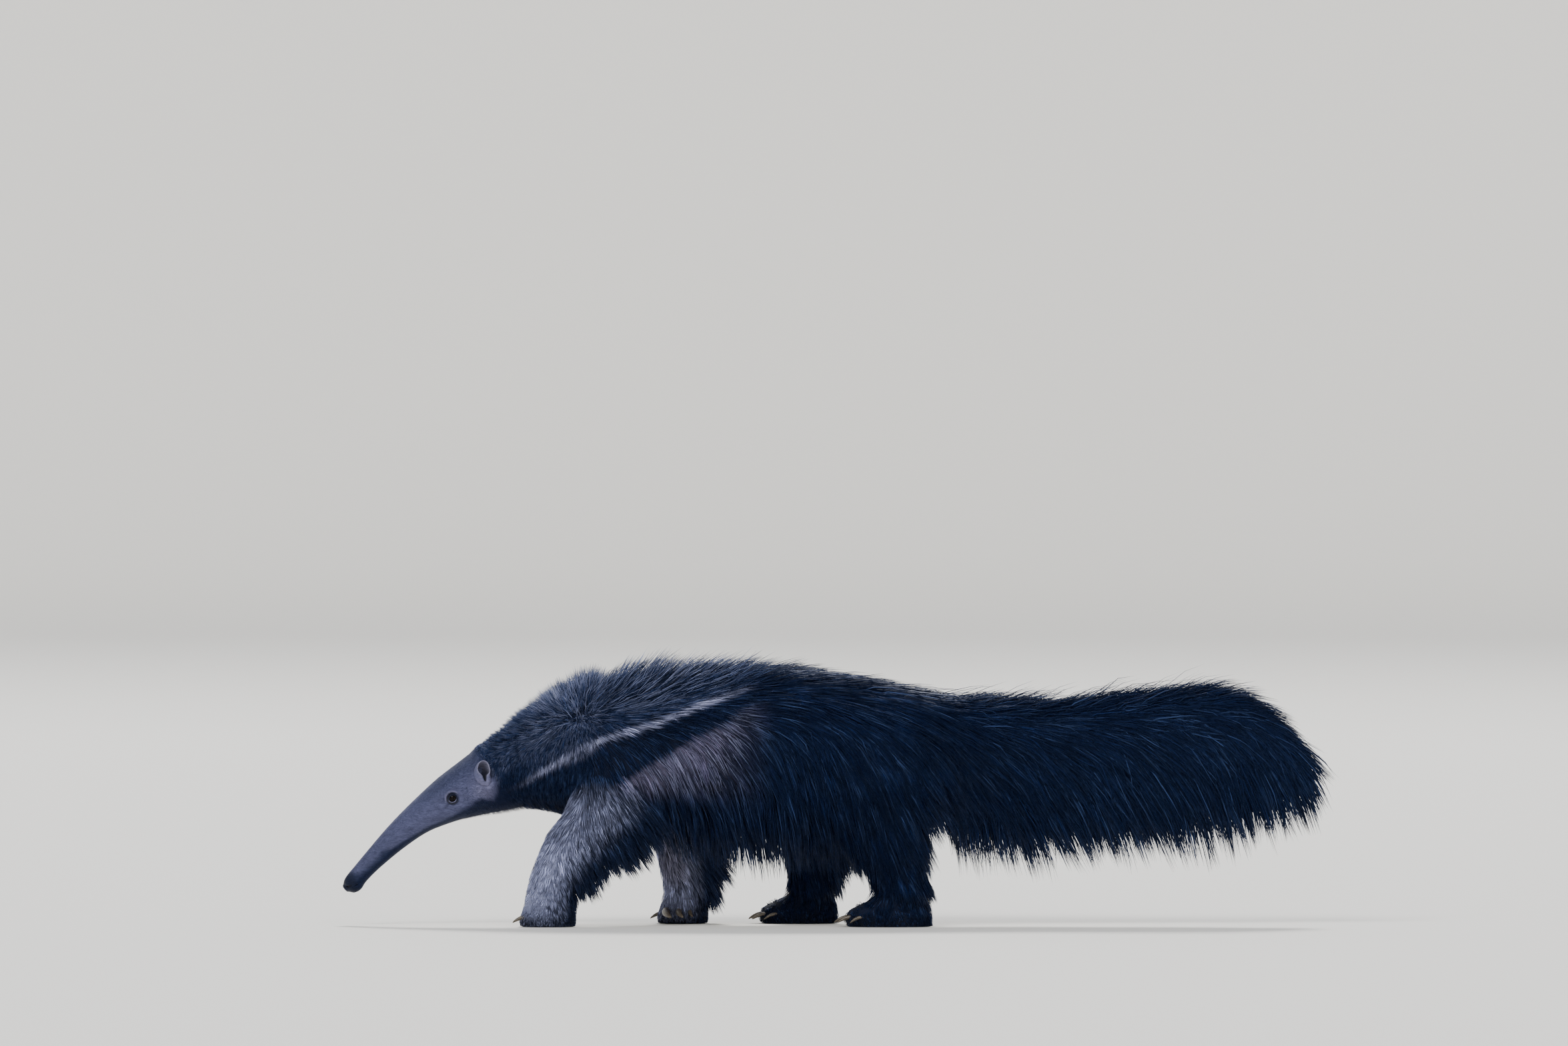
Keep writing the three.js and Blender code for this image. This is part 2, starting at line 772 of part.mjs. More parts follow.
function forwardClaw(leg, form, claw) {
  const share = Math.abs(claw.place);
  const toe = form.point(0.75, Math.PI * 1.5).x;
  const round = form.section(0.75).rise * (1 - Math.sqrt(1 - share ** 2)) * 0.8;
  const y = leg.side * (STANCE - claw.place * form.section(0.75).half);
  const root = new THREE.Vector3(toe + round + CLAW_SUNK, y, CLAW_HEIGHT);
  const splay = -leg.side * claw.place * claw.length * 0.25;
  return clawLine(
    root,
    new THREE.Vector3(-claw.length * 0.6, splay * 0.6, 3),
    new THREE.Vector3(-claw.length - CLAW_SUNK, splay, 4 - CLAW_HEIGHT),
  );
}

function makeFeet() {
  for (const [name, leg] of Object.entries(LEGS)) {
    const fore = name.startsWith("fore");
    const form = footForm(leg, fore ? FOREFOOT : HINDFOOT);
    const folded = fore ? FORE_CLAWS : [];
    const forward = fore ? [OUTER_CLAW] : HIND_CLAWS;
    const claws = [
      ...folded.map((row) => ({ ...row, line: foldedClaw(leg, form, row), thickness: AHEAD })),
      ...forward.map((row) => ({ ...row, line: forwardClaw(leg, form, row), thickness: UP })),
    ];
    let foot = form.solid({ rings: 5, sides: 12 });
    claws.forEach(({ line, width, thickness }, i) => {
      solids[name.replace("leg", "claw") + "_" + (i + 1)] = claw(line, width, thickness);
      foot = foot.subtract(claw(line, width, thickness, GAP));
    });
    solids[name.replace("leg", "foot")] = oneBody(foot);
  }
}

// Coat: locks
let seed = 17;
function draw(low, high) {
  seed = (seed * 16807) % 2147483647;
  return low + ((high - low) * seed) / 2147483647;
}

// The value at a share of the way through an evenly spaced list.
function through(list, share) {
  const place = share * (list.length - 1);
  const i = Math.min(Math.floor(place), list.length - 2);
  return THREE.MathUtils.lerp(list[i], list[i + 1], place - i);
}

const trunk = [neckForm, torsoForm, tailForm];

function skinOut(x, z, side) {
  const legs = Object.values(LEGS).map((leg) => leg.form);
  return Math.max(...[...trunk, ...legs].map((form) => form.outAt(x, z, side)));
}

function skinTop(x) {
  return Math.max(...trunk.map((form) => form.topAt(x)));
}

const LOCK_STEPS = 12; // short steps along a lock's middle line
const LOCK_BENDS = 4; // and the lengths that its surface is made of
const PROBE = 4;

// The skin's place and outward direction at a place of the side view, or undefined where there is
// no skin.
function skinAt(x, z, side) {
  const y = skinOut(x, z, side);
  if (y === 0) return undefined;
  const slope = (dx, dz) => (skinOut(x + dx, z + dz, side) - y) / PROBE;
  const normal = new THREE.Vector3(-slope(PROBE, 0), side, -slope(0, PROBE));
  normal.x = THREE.MathUtils.clamp(normal.x, -1, 1);
  normal.z = THREE.MathUtils.clamp(normal.z, -1.6, 1.6);
  return { place: new THREE.Vector3(x, side * y, z), normal: normal.normalize() };
}

function heading(lock, i) {
  const angle = THREE.MathUtils.degToRad(THREE.MathUtils.lerp(lock.lie, lock.fall, i / LOCK_STEPS));
  return new THREE.Vector3(Math.cos(angle), 0, -Math.sin(angle));
}

// A lock on a flank: laid over the skin where there is any, hanging free below it.
function flankLine(lock, out) {
  const { root, normal, side, length, lift } = lock;
  const lateral = new THREE.Vector3(0, side, 0);
  const points = [root.clone().addScaledVector(normal, -LOCK_SINK)];
  const faces = [normal.clone()];
  const step = length / LOCK_STEPS;
  const track = root.clone();
  let last = root.clone();
  for (let i = 1; i <= LOCK_STEPS; i++) {
    track.addScaledVector(heading(lock, i - 1), step);
    const raised = lift * i * step - 2 + (out * i) / LOCK_STEPS;
    const skin = skinAt(track.x, track.z, side);
    const free = side * last.y - DRAW_IN * step;
    const p = new THREE.Vector3(track.x, side * free, track.z);
    let face = lateral;
    if (skin) {
      const laid = skin.place.addScaledVector(skin.normal, raised);
      if (side * laid.y > free) {
        p.copy(laid);
        face = skin.normal;
      }
    }
    last = p;
    if (i % (LOCK_STEPS / LOCK_BENDS) === 0) {
      points.push(p);
      faces.push(face.clone().lerp(faces[faces.length - 1], 0.3));
    }
  }
  return { points, faces };
}

// A lock in the plane of the body's middle, or of a leg's: crest, keel, fringe and tail's end.
function crestLine(lock, out) {
  const { root, inward, length, onBack, shift, lean } = lock;
  const points = [];
  const faces = [];
  const step = length / LOCK_STEPS;
  const track = root.clone();
  for (let i = 0; i <= LOCK_STEPS; i++) {
    if (onBack) track.z = Math.max(track.z, skinTop(track.x) + LOCK_LIFT * i * step - 3);
    const p = track.clone();
    p.y += shift * (1 + out / 12) + lean * (i / LOCK_STEPS) ** 1.5;
    if (i === 0) p.addScaledVector(inward, LOCK_SINK * 1.3);
    if (i % (LOCK_STEPS / LOCK_BENDS) === 0) {
      points.push(p);
      faces.push(new THREE.Vector3(lock.twist, lock.side, -lock.twist));
    }
    track.addScaledVector(heading(lock, i), step);
  }
  return { points, faces };
}

function lockSolid(lock, out, grow) {
  const { points, faces } = lock.flat ? flankLine(lock, out) : crestLine(lock, out);
  const swell = (s) => (0.7 + 0.3 * Math.min(1, 4 * s)) * (1 - s ** 3);
  const face = (s) => {
    const i = Math.min(Math.floor(s * LOCK_BENDS), LOCK_BENDS - 1);
    const turned = faces[i].clone().lerp(faces[i + 1], s * LOCK_BENDS - i);
    if (lock.flat) turned.x -= LOCK_ROLL;
    return turned.normalize();
  };
  const line = new THREE.CatmullRomCurve3(points);
  const thick = lock.flat ? LOCK_THICK : CREST_THICK;
  return taperedPiece(line, { width: lock.width, thick, face, sides: 3, steps: LOCK_BENDS, swell, grow });
}

function crossesOthers(solid, node) {
  const box = solid.boundingBox();
  if (box.min[2] < FLOOR_CLEAR) return true;
  return Object.entries(solids).some(([name, other]) => {
    if (name === node) return false;
    const near = other.boundingBox();
    if ([0, 1, 2].some((k) => near.min[k] > box.max[k] || near.max[k] < box.min[k])) return false;
    return !solid.intersect(other).isEmpty();
  });
}

// Tried in order until a lock is clear of the other nodes: bent out, then cut shorter too.
const TRIES = [
  { out: 0, share: 1 },
  { out: 8, share: 1 },
  { out: 16, share: 1 },
  { out: 16, share: 0.85 },
  { out: 24, share: 0.7 },
  { out: 8, share: 0.55 },
];

// Small moves of a lock, tried in order until it joins the others soundly.
const NUDGES = [
  [0, 0, 0],
  [0.7, 0.1, 0.4],
  [-0.6, -0.1, 0.8],
];

function clearLock(lock, node) {
  for (const { out, share } of TRIES) {
    const tried = { ...lock, length: lock.length * share };
    if (!crossesOthers(lockSolid(tried, out, 2 * GAP), node)) return lockSolid(tried, out, 0);
  }
  return undefined;
}

function tierLocks(form, tier, side, onBack) {
  const locks = [];
  for (let i = 0; i < tier.count; i++) {
    const share = THREE.MathUtils.clamp((i + 0.5 + draw(-0.25, 0.25)) / tier.count, 0, 1);
    const t = THREE.MathUtils.lerp(tier.from, tier.to, share);
    const flat = !tier.crest && !tier.keel;
    const degrees = flat ? tier.angle : tier.crest ? 90 : -90;
    const angle = THREE.MathUtils.degToRad(side > 0 ? degrees : 180 - degrees);
    const root = form.point(t, angle);
    const normal = form.normal(t, angle);
    const sway = draw(-5, 5);
    locks.push({
      flat,
      root,
      normal,
      inward: normal.clone().negate(),
      onBack: onBack && tier.crest,
      side: flat ? side : i % 2 === 0 ? 1 : -1,
      shift: (i % 2 === 0 ? 1 : -1) * CREST_APART,
      lean: (i % 2 === 0 ? 1 : -1) * draw(0, CREST_LEAN),
      twist: draw(-0.45, 0.45),
      lie: through(tier.lie, share) + sway,
      fall: through(tier.fall, share) + sway,
      length: through(tier.length, share) * draw(0.92, 1.08),
      width: through(tier.width, share) * draw(0.92, 1.08),
      lift: tier.lift ?? LOCK_LIFT,
    });
  }
  return locks;
}

// Joins a core and its locks one by one. A lock that would meet the others along a line, which
// leaves no sound edge, is nudged, and left out if that doesn't help.
function coated(node, core, locks) {
  let grown = core;
  for (const lock of locks) {
    const piece = clearLock(lock, node);
    if (!piece) continue;
    const joins = NUDGES.map((nudge) => grown.add(piece.translate(nudge)));
    grown = joins.find((joined) => edgesPair(oneBody(joined))) ?? grown;
  }
  return oneBody(grown);
}

function bothSides(form, tiers) {
  return tiers.flatMap((tier) => {
    if (tier.crest || tier.keel) return tierLocks(form, tier, 1, true);
    return [...tierLocks(form, tier, -1, true), ...tierLocks(form, tier, 1, true)];
  });
}

// The tail's last locks spread from the end of its core.
function tailEndLocks() {
  const top = tailForm.point(1, Math.PI / 2);
  const bottom = tailForm.point(1, -Math.PI / 2);
  return Array.from({ length: TAIL_END.count }, (_, i) => {
    const share = i / (TAIL_END.count - 1);
    return {
      flat: false,
      root: top.clone().lerp(bottom, 0.1 + 0.8 * share),
      inward: AHEAD,
      onBack: false,
      side: i % 2 === 0 ? 1 : -1,
      shift: (i % 2 === 0 ? 1 : -1) * 4,
      lean: (i % 2 === 0 ? 1 : -1) * draw(0, CREST_LEAN),
      twist: draw(-0.3, 0.3),
      lie: through(TAIL_END.lie, share),
      fall: through(TAIL_END.fall, share),
      length: through(TAIL_END.length, share),
      width: TAIL_END.width,
    };
  });
}

function growCoat() {
  solids.torso = coated("torso", solids.torso, bothSides(torsoForm, TORSO_TIERS));
  solids.neck = coated("neck", solids.neck, bothSides(neckForm, NECK_TIERS));
  solids.tail = coated("tail", solids.tail, [...bothSides(tailForm, TAIL_TIERS), ...tailEndLocks()]);
  for (const [name, leg] of Object.entries(LEGS)) {
    const own = leg.side < 0 ? FORELEG_TIERS.left : FORELEG_TIERS.right;
    const tiers = name.startsWith("fore") ? own : HINDLEG_TIERS;
    const locks = tiers.flatMap((tier) => tierLocks(leg.form, tier, leg.side, false));
    solids[name] = coated(name, solids[name], locks);
  }
}

makeTrunk();
makeHead();
makeEyesAndEars();
makeLegs();
makeFeet();
growCoat();

// The scene graph: one named mesh for each piece, standing at the middle of its own footprint
function materialOf(name) {
  if (name.startsWith("eye")) return EYE;
  if (name.startsWith("ear")) return EAR_SKIN;
  if (name.includes("claw")) return HORN;
  if (name.startsWith("head")) return SHORT_COAT;
  if (name.startsWith("tail")) return TAIL_COAT;
  if (name.includes("leg") || name.includes("foot")) return LEG_COAT;
  return LONG_COAT;
}

const anteater = new THREE.Group();
for (const [name, solid] of Object.entries(solids)) {
  const mesh = new THREE.Mesh(geometryOf(solid), materialOf(name).clone());
  mesh.name = name;
  anteater.add(mesh);
}
const reach = new THREE.Box3().setFromObject(anteater);
const middle = reach.getCenter(new THREE.Vector3());
anteater.position.set(-middle.x, -middle.y, -reach.min.z);

export default anteater;
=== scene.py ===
"""Looks of the adult giant anteater: one skin, its coat in tufts, eyes, claws and a plain stage.

Sizes are in millimetres on the body's own axes, +X from head to tail and +Z up, and become metres
where a mesh is made. The animal's left side is towards -Y.
"""
import math

import bpy
import numpy as np
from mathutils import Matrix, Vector
from mathutils.kdtree import KDTree


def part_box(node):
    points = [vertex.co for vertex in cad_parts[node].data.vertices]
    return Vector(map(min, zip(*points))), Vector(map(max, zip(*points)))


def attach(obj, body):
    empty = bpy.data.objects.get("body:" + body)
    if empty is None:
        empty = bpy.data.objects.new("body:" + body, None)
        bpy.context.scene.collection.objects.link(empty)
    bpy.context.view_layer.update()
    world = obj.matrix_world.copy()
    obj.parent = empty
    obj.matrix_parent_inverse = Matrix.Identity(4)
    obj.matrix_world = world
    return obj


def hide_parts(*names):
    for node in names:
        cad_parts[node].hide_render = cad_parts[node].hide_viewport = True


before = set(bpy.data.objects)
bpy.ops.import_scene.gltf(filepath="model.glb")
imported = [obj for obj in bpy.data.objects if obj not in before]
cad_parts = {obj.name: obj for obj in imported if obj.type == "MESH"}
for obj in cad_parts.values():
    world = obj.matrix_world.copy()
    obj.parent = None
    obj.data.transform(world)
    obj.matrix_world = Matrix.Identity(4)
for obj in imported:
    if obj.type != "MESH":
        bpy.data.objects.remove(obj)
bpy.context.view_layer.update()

bl_info = {
    "name": "Giant anteater",
    "version": (1, 0, 0),
    "blender": (4, 5, 0),
    "location": "3D View > Sidebar > Anteater",
    "description": "Builds the skin, coat, eyes, claws and stage of a giant anteater",
    "category": "Add Mesh",
}

MM = 0.001
TAU = 2 * math.pi
SIDES = {"left": -1, "right": 1}


def middle_of(node):
    low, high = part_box(node)
    return (low + high) / 2


# Head: its axis rises from the snout's tip, and rows and features are measured along it.
HEAD_PITCH = math.radians(38)
SNOUT_TIP = np.array([-879.6, 0, 72])
HEAD_AXIS = np.array([math.cos(HEAD_PITCH), 0, math.sin(HEAD_PITCH)])
HEAD_UP = np.array([-math.sin(HEAD_PITCH), 0, math.cos(HEAD_PITCH)])
EYE = {"along": 248, "above": 5.6, "out": 35.5, "radius": 9.5}
EAR = {"along": 322, "above": 8.2, "out": 45}


def on_head(along, above, out=0.0, side=1):
    return SNOUT_TIP + along * HEAD_AXIS + above * HEAD_UP + np.array([0, side * out, 0])


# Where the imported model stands, in millimetres on the body's own axes.
EYE_LEFT = on_head(EYE["along"], EYE["above"], EYE["out"], SIDES["left"])
SHIFT = np.array(middle_of("eye_left")) / MM - EYE_LEFT

# Rows of cross-sections: (along, over, under, half width) on the head's axis, and
# (top x, top z, bottom x, bottom z, half width) for the rest. The last value of each is the depth
# of the coat over the skin.
HEAD_ROWS = [
    (-5, 5, -12, 7, 0.6),
    (3, 11, -20, 11.5, 0.6),
    (16, 15.5, -22, 14.5, 0.8),
    (34, 19.5, -17, 16, 1),
    (68, 27, -13, 18, 1),
    (122, 38, -11.6, 21.5, 1),
    (174, 45.6, -15.6, 28, 1.2),
    (222, 50.6, -30, 37, 1.4),
    (250, 52.4, -42, 43, 1.5),
    (288, 52.6, -61, 48, 2),
    (317, 53.2, -77, 51, 3),
    (342, 53.4, -91, 55, 4),
]
TRUNK_ROWS = [
    (-577, 352, -524, 205, 66, 6),
    (-527, 383, -500, 198, 82, 8),
    (-470, 411, -478, 190, 101, 9),
    (-420, 426, -425, 181, 117, 10),
    (-350, 435, -350, 176, 130, 11),
    (-242, 449, -242, 178, 136, 12),
    (-122, 462, -122, 186, 138, 12),
    (-2, 452, -2, 196, 136, 12),
    (105, 434, 98, 208, 126, 12),
    (165, 420, 142, 222, 106, 11),
    (205, 406, 172, 245, 74, 10),
    (274, 394, 250, 236, 52, 9),
    (370, 391, 346, 232, 44, 9),
    (478, 396, 454, 238, 40, 9),
    (586, 408, 562, 252, 36, 8),
    (680, 412, 668, 270, 30, 7),
    (754, 390, 752, 284, 23, 6),
    (812, 340, 806, 286, 12, 4),
]
STANCE = 84
WRIST = 58
# Legs: (rear x, z, front x, z, half width, depth of coat), from the body down.
LEG_ROWS = {
    "foreleg_left": [
        (-320, 290, -462, 286, 34, 6),
        (-322, 214, -490, 208, 42, 6),
        (-362, 166, -519, 166, 41, 5),
        (-431, 106, -545, 106, 36, 4),
        (-463, WRIST, -557, WRIST, 34, 3),
    ],
    "foreleg_right": [
        (-300, 290, -448, 286, 34, 6),
        (-268, 214, -400, 208, 42, 6),
        (-236, 166, -338, 166, 40, 5),
        (-228, 106, -319, 106, 36, 4),
        (-226, WRIST, -311, WRIST, 34, 3),
    ],
    "hindleg_left": [
        (150, 330, 8, 330, 38, 8),
        (152, 286, -28, 280, 48, 8),
        (146, 226, -22, 222, 50, 8),
        (144, 166, 14, 166, 44, 7),
        (156, 106, 54, 106, 38, 5),
        (168, WRIST, 70, WRIST, 35, 3),
    ],
    "hindleg_right": [
        (118, 330, -40, 330, 38, 8),
        (100, 286, -80, 280, 48, 8),
        (70, 226, -92, 222, 50, 8),
        (34, 166, -94, 166, 44, 7),
        (4, 106, -86, 106, 38, 5),
        (0, WRIST, -84, WRIST, 35, 3),
    ],
}
FEET = {"fore": {"heel": -4, "toe": 6, "half": 36}, "hind": {"heel": 2, "toe": 46, "half": 34}}


def head_rows():
    """The head's rows as the rest has them, with power and pear added."""
    rows = []
    for along, over, under, half, depth in HEAD_ROWS:
        top, bottom = on_head(along, over), on_head(along, under)
        rows.append((top[0], top[2], bottom[0], bottom[2], half, depth, 2.1, 0.0))
    return rows


def trunk_rows():
    """All rows of the trunk, with power, which squares a section off, and pear, which widens its top."""
    rows = head_rows()
    for row in TRUNK_ROWS:
        tail = min(max((row[0] - 165) / 60, 0), 1)
        rows.append(row + (2.25 - 0.15 * tail, -0.05 + 0.35 * tail))
    return np.array(rows)


def leg_rows(name):
    """A leg's rows and those of its foot, down to the sole."""
    rows = LEG_ROWS[name]
    plan = FEET[name[:4]]
    rear, front = rows[-1][0] + plan["heel"], rows[-1][2] - plan["toe"]
    half, toe = plan["half"], plan["toe"]
    foot = [
        (rear + 2, WRIST * 0.6, front + toe * 0.3, WRIST * 0.6, half, 2.5),
        (rear + 2, 14.4, front - 4, 14.4, half + 2, 2),
        (rear, 4.5, front - 3, 4.5, half + 1, 2),
        (rear - 5, -1, front + 3, -1, half - 4, 1.5),
    ]
    return np.array([row + (2.1, 0.0) for row in rows + foot])


def through(rows, u):
    """Catmull-Rom through the rows at places u, counted in rows."""
    count = len(rows)
    padded = np.vstack([2 * rows[0] - rows[1], rows, 2 * rows[-1] - rows[-2]])
    i = np.clip(np.floor(u).astype(int), 0, count - 2)
    f = (u - i)[:, None]
    a, b, c, d = (padded[i + k] for k in range(4))
    return b + 0.5 * f * (c - a + f * (2 * a - 5 * b + 4 * c - d + f * (3 * (b - c) + d - a)))


def running(steps):
    """The distance from the start before each step and after the last."""
    return np.concatenate([[0], np.cumsum(steps)])


def unit(v):
    return v / np.maximum(np.linalg.norm(v, axis=-1, keepdims=True), 1e-9)


class Form:
    """A loft of cross-sections, from which the skin is made and on which the coat lies. Its patch is
    its place on the unwrapped skin: left, low, right and high."""

    CELL = 4.0  # spacing of the map of places, in mm
    MARGIN = 260  # how far the map reaches past the form, in mm
    STEPS = 24  # fine steps from one row to the next

    def __init__(self, rows, y=0.0, patch=(0, 0, 1, 1)):
        self.rows, self.y, self.patch = rows, y, patch
        self.last = len(rows) - 1
        self.steps = np.linspace(0, self.last, self.STEPS * self.last + 1)
        table = through(rows, self.steps)
        top, bottom, depth = table[:, 0:2], table[:, 2:4], table[:, 5]
        self.middle = (top + bottom) / 2
        self.up = unit(top - bottom)
        self.rise = np.linalg.norm(top - bottom, axis=1) / 2 - depth
        self.half = table[:, 4] - depth
        self.power, self.pear = table[:, 6], table[:, 7]
        self.along = np.stack([self.up[:, 1], -self.up[:, 0]], 1)
        self.length = running(np.linalg.norm(np.diff(self.middle, axis=0), axis=1))
        self.map_places()

    def at(self, values, u):
        if values.ndim == 1:
            return np.interp(u, self.steps, values)
        return np.stack([np.interp(u, self.steps, column) for column in values.T], -1)

    def section(self, u):
        """Middle, up, half height, half width, power and pear of the sections at places u."""
        known = (self.middle, self.up, self.rise, self.half, self.power, self.pear)
        return [self.at(values, u) for values in known]

    def point(self, u, angle, out=0.0):
        """Points of the skin, angle 0 at the right side and a quarter turn at the top."""
        middle, up, rise, half, power, pear = self.section(u)
        c, s = np.cos(angle), np.sin(angle)
        across = np.sign(c) * np.abs(c) ** (2 / power)
        high = np.sign(s) * np.abs(s) ** (2 / power)
        y = self.y + across * (half * (1 + pear * high) + out)
        place = middle + up * (high * (rise + out))[..., None]
        return np.stack([place[..., 0], y, place[..., 1]], -1)

    def normal(self, u, angle):
        step = 2e-3
        along = self.point(np.minimum(u + step, self.last), angle)
        along = along - self.point(np.maximum(u - step, 0), angle)
        around = self.point(u, angle + step) - self.point(u, angle - step)
        return unit(np.cross(around, along))

    def map_places(self):
        """A map from places of the side view to the section that passes through them."""
        low = self.low = self.middle.min(0) - self.MARGIN
        high = self.middle.max(0) + self.MARGIN
        counts = ((high - low) / self.CELL).astype(int) + 1
        x = low[0] + self.CELL * np.arange(counts[0])
        z = low[1] + self.CELL * np.arange(counts[1])
        grid = np.stack(np.meshgrid(x, z, indexing="ij"), -1)
        best = np.full(grid.shape[:2], np.inf)
        self.places = np.full(grid.shape[:2], -1.0)
        ahead = None
        for k, u in enumerate(self.steps):
            now = ((grid - self.middle[k]) * self.along[k]).sum(-1)
            if ahead is not None:
                share = ahead / np.where(ahead == now, 1, ahead - now)
                away = np.linalg.norm(grid - self.middle[k], axis=-1)
                crossed = (ahead >= 0) & (now < 0) & (away < best)
                self.places[crossed] = (self.steps[k - 1] + share * (u - self.steps[k - 1]))[crossed]
                best[crossed] = away[crossed]
            ahead = now

    def locate(self, p):
        """The section place of points, or -1 where none passes."""
        cell = (p[:, [0, 2]] - self.low) / self.CELL
        i = np.clip(cell.astype(int), 0, np.array(self.places.shape) - 2)
        f = np.clip(cell - i, 0, 1)
        corner = [self.places[i[:, 0] + a, i[:, 1] + b] for a in (0, 1) for b in (0, 1)]
        u = (corner[0] * (1 - f[:, 1]) + corner[1] * f[:, 1]) * (1 - f[:, 0])
        u += (corner[2] * (1 - f[:, 1]) + corner[3] * f[:, 1]) * f[:, 0]
        return np.where(np.min(corner, axis=0) < 0, -1, u)

    def push(self, p, clear):
        """Points moved out of the form until they stand clear of it."""
        u = self.locate(p)
        inside = u >= 0
        middle, up, rise, half, power, pear = self.section(u)
        high = ((p[:, [0, 2]] - middle) * up).sum(-1)
        across = p[:, 1] - self.y
        wide = half * (1 + pear * np.clip(high / rise, -1, 1))
        f = (np.abs(high / rise) ** power + np.abs(across / wide) ** power) ** (1 / power)
        reach = np.hypot(high, across)
        wanted = reach / np.maximum(f, 1e-3) + clear
        grow = np.where(inside & (reach < wanted), wanted / np.maximum(reach, 1e-3), 1)
        moved = p.copy()
        moved[:, 1] = self.y + across * grow
        moved[:, [0, 2]] += (high * (grow - 1))[:, None] * up
        return moved

    def unwrap(self, u, angle):
        """The place on the unwrapped skin, its seam along the underside."""
        left, low, right, high = self.patch
        along = self.at(self.length, u) / self.length[-1]
        around = ((angle + TAU / 4) % TAU) / TAU
        return np.stack([left + along * (right - left), low + around * (high - low)], -1)


TRUNK = Form(trunk_rows(), patch=(0.01, 0.01, 0.99, 0.55))
LEGS = {
    name: Form(
        leg_rows(name), STANCE * SIDES[name.split("_")[1]], (0.01 + 0.25 * i, 0.6, 0.24 + 0.25 * i, 0.85))
    for i, name in enumerate(LEG_ROWS)
}
FORMS = {"trunk": TRUNK, **LEGS}

# Colours of the coat's zones, some also used for painted shade and highlights
GREY_FACE = "#494b66"
GREY_SNOUT = "#3f4159"
GREY_BROW = "#2c3045"
# Pale grey of the cheek, the ear's lower part and the lower lid, also used for a painted highlight on the
# fold over the eye.
CHEEK_PALE_AND_HIGHLIGHT = "#66657f"
# Near-black of the bare nose, also used low on the feet and for painted shade in the hollow round the eye
# and on the lids.
NOSE_AND_SHADE_DARK = "#090c18"
# Dark inside of the ear, partly its own colour and partly painted shade of its cup.
EAR_INSIDE_AND_SHADE = "#1b1a25"
# Pale of the ear's rim, a painted highlight.
EAR_RIM_HIGHLIGHT = "#8f8da8"
TICKED = "#1e2a49"
CREST = "#333f5f"
STRIPE_WHITE = "#a8add0"
# Black of the band and the throat, also used for painted shade in the crease before the shoulder and under
# the jaw.
BAND_BLACK_AND_SHADE = "#060f28"
SHOULDER_PALE = "#6a6580"
COAT_BLACK = "#07122c"
STRAND_PALE = "#3c4e76"
GRIZZLE = "#868ba8"
FROST = "#abb1d6"
LEG_DARK = "#151c32"
SNOUT_SHADE = "#141b30"
LEG_PALE = "#7d7888"


def linear(colour):
    """An sRGB hex colour as linear RGB."""
    parts = np.array([int(colour[i : i + 2], 16) / 255 for i in (1, 3, 5)])
    return np.where(parts <= 0.04045, parts / 12.92, ((parts + 0.055) / 1.055) ** 2.4)


def smooth(low, high, value):
    """A soft step from 0 at low to 1 at high."""
    t = np.clip((value - low) / (high - low), 0, 1)
    return t * t * (3 - 2 * t)


# Markings and edges of painted shade: lines of the side view, (x, z)
STRIPE = [
    (-622, 232), (-566, 254), (-518, 284), (-470, 310), (-422, 335), (-374, 352),
    (-326, 365), (-278, 385), (-230, 403), (-182, 420), (-150, 432),
]
STRIPE_HALF = 5.0
# Upper edge of the black throat and of painted shade under the jaw and snout, by along and above on the
# head.
THROAT_AND_JAW_SHADE_EDGE = [
    (0, -6), (60, -4), (107, 1), (134, -1), (153, -4), (173, -6.5), (192, -10), (209, -15), (228, -19),
    (249, -22), (264, -24), (276, -23), (288, -25), (296, -34), (304, -40), (318, -34), (335, -18),
]
SNOUT_EDGE = [(0, 14), (18, 12), (31, 3), (52, 2), (75, 4), (88, 9), (98, 5), (110, -6)]
# The crease where the neck meets the shoulder, as (z, x) at two heights; it is painted dark as its shade.
CREASE_SHADE_LINE = [(226, -470), (300, -458)]
BAND_EDGE = [
    (-500, 216), (-470, 220), (-422, 228), (-398, 250), (-362, 274), (-326, 298),
    (-290, 316), (-266, 334), (-230, 352), (-194, 370), (-170, 391), (-146, 406),
]


def height_of(line, x):
    return np.interp(x, [p[0] for p in line], [p[1] for p in line])


def plain(colour, count):
    """One colour at count points."""
    return np.tile(linear(colour), (count, 1))


def mix(colour, other, weight):
    return colour + (linear(other) - colour) * np.clip(weight, 0, 1)[:, None]


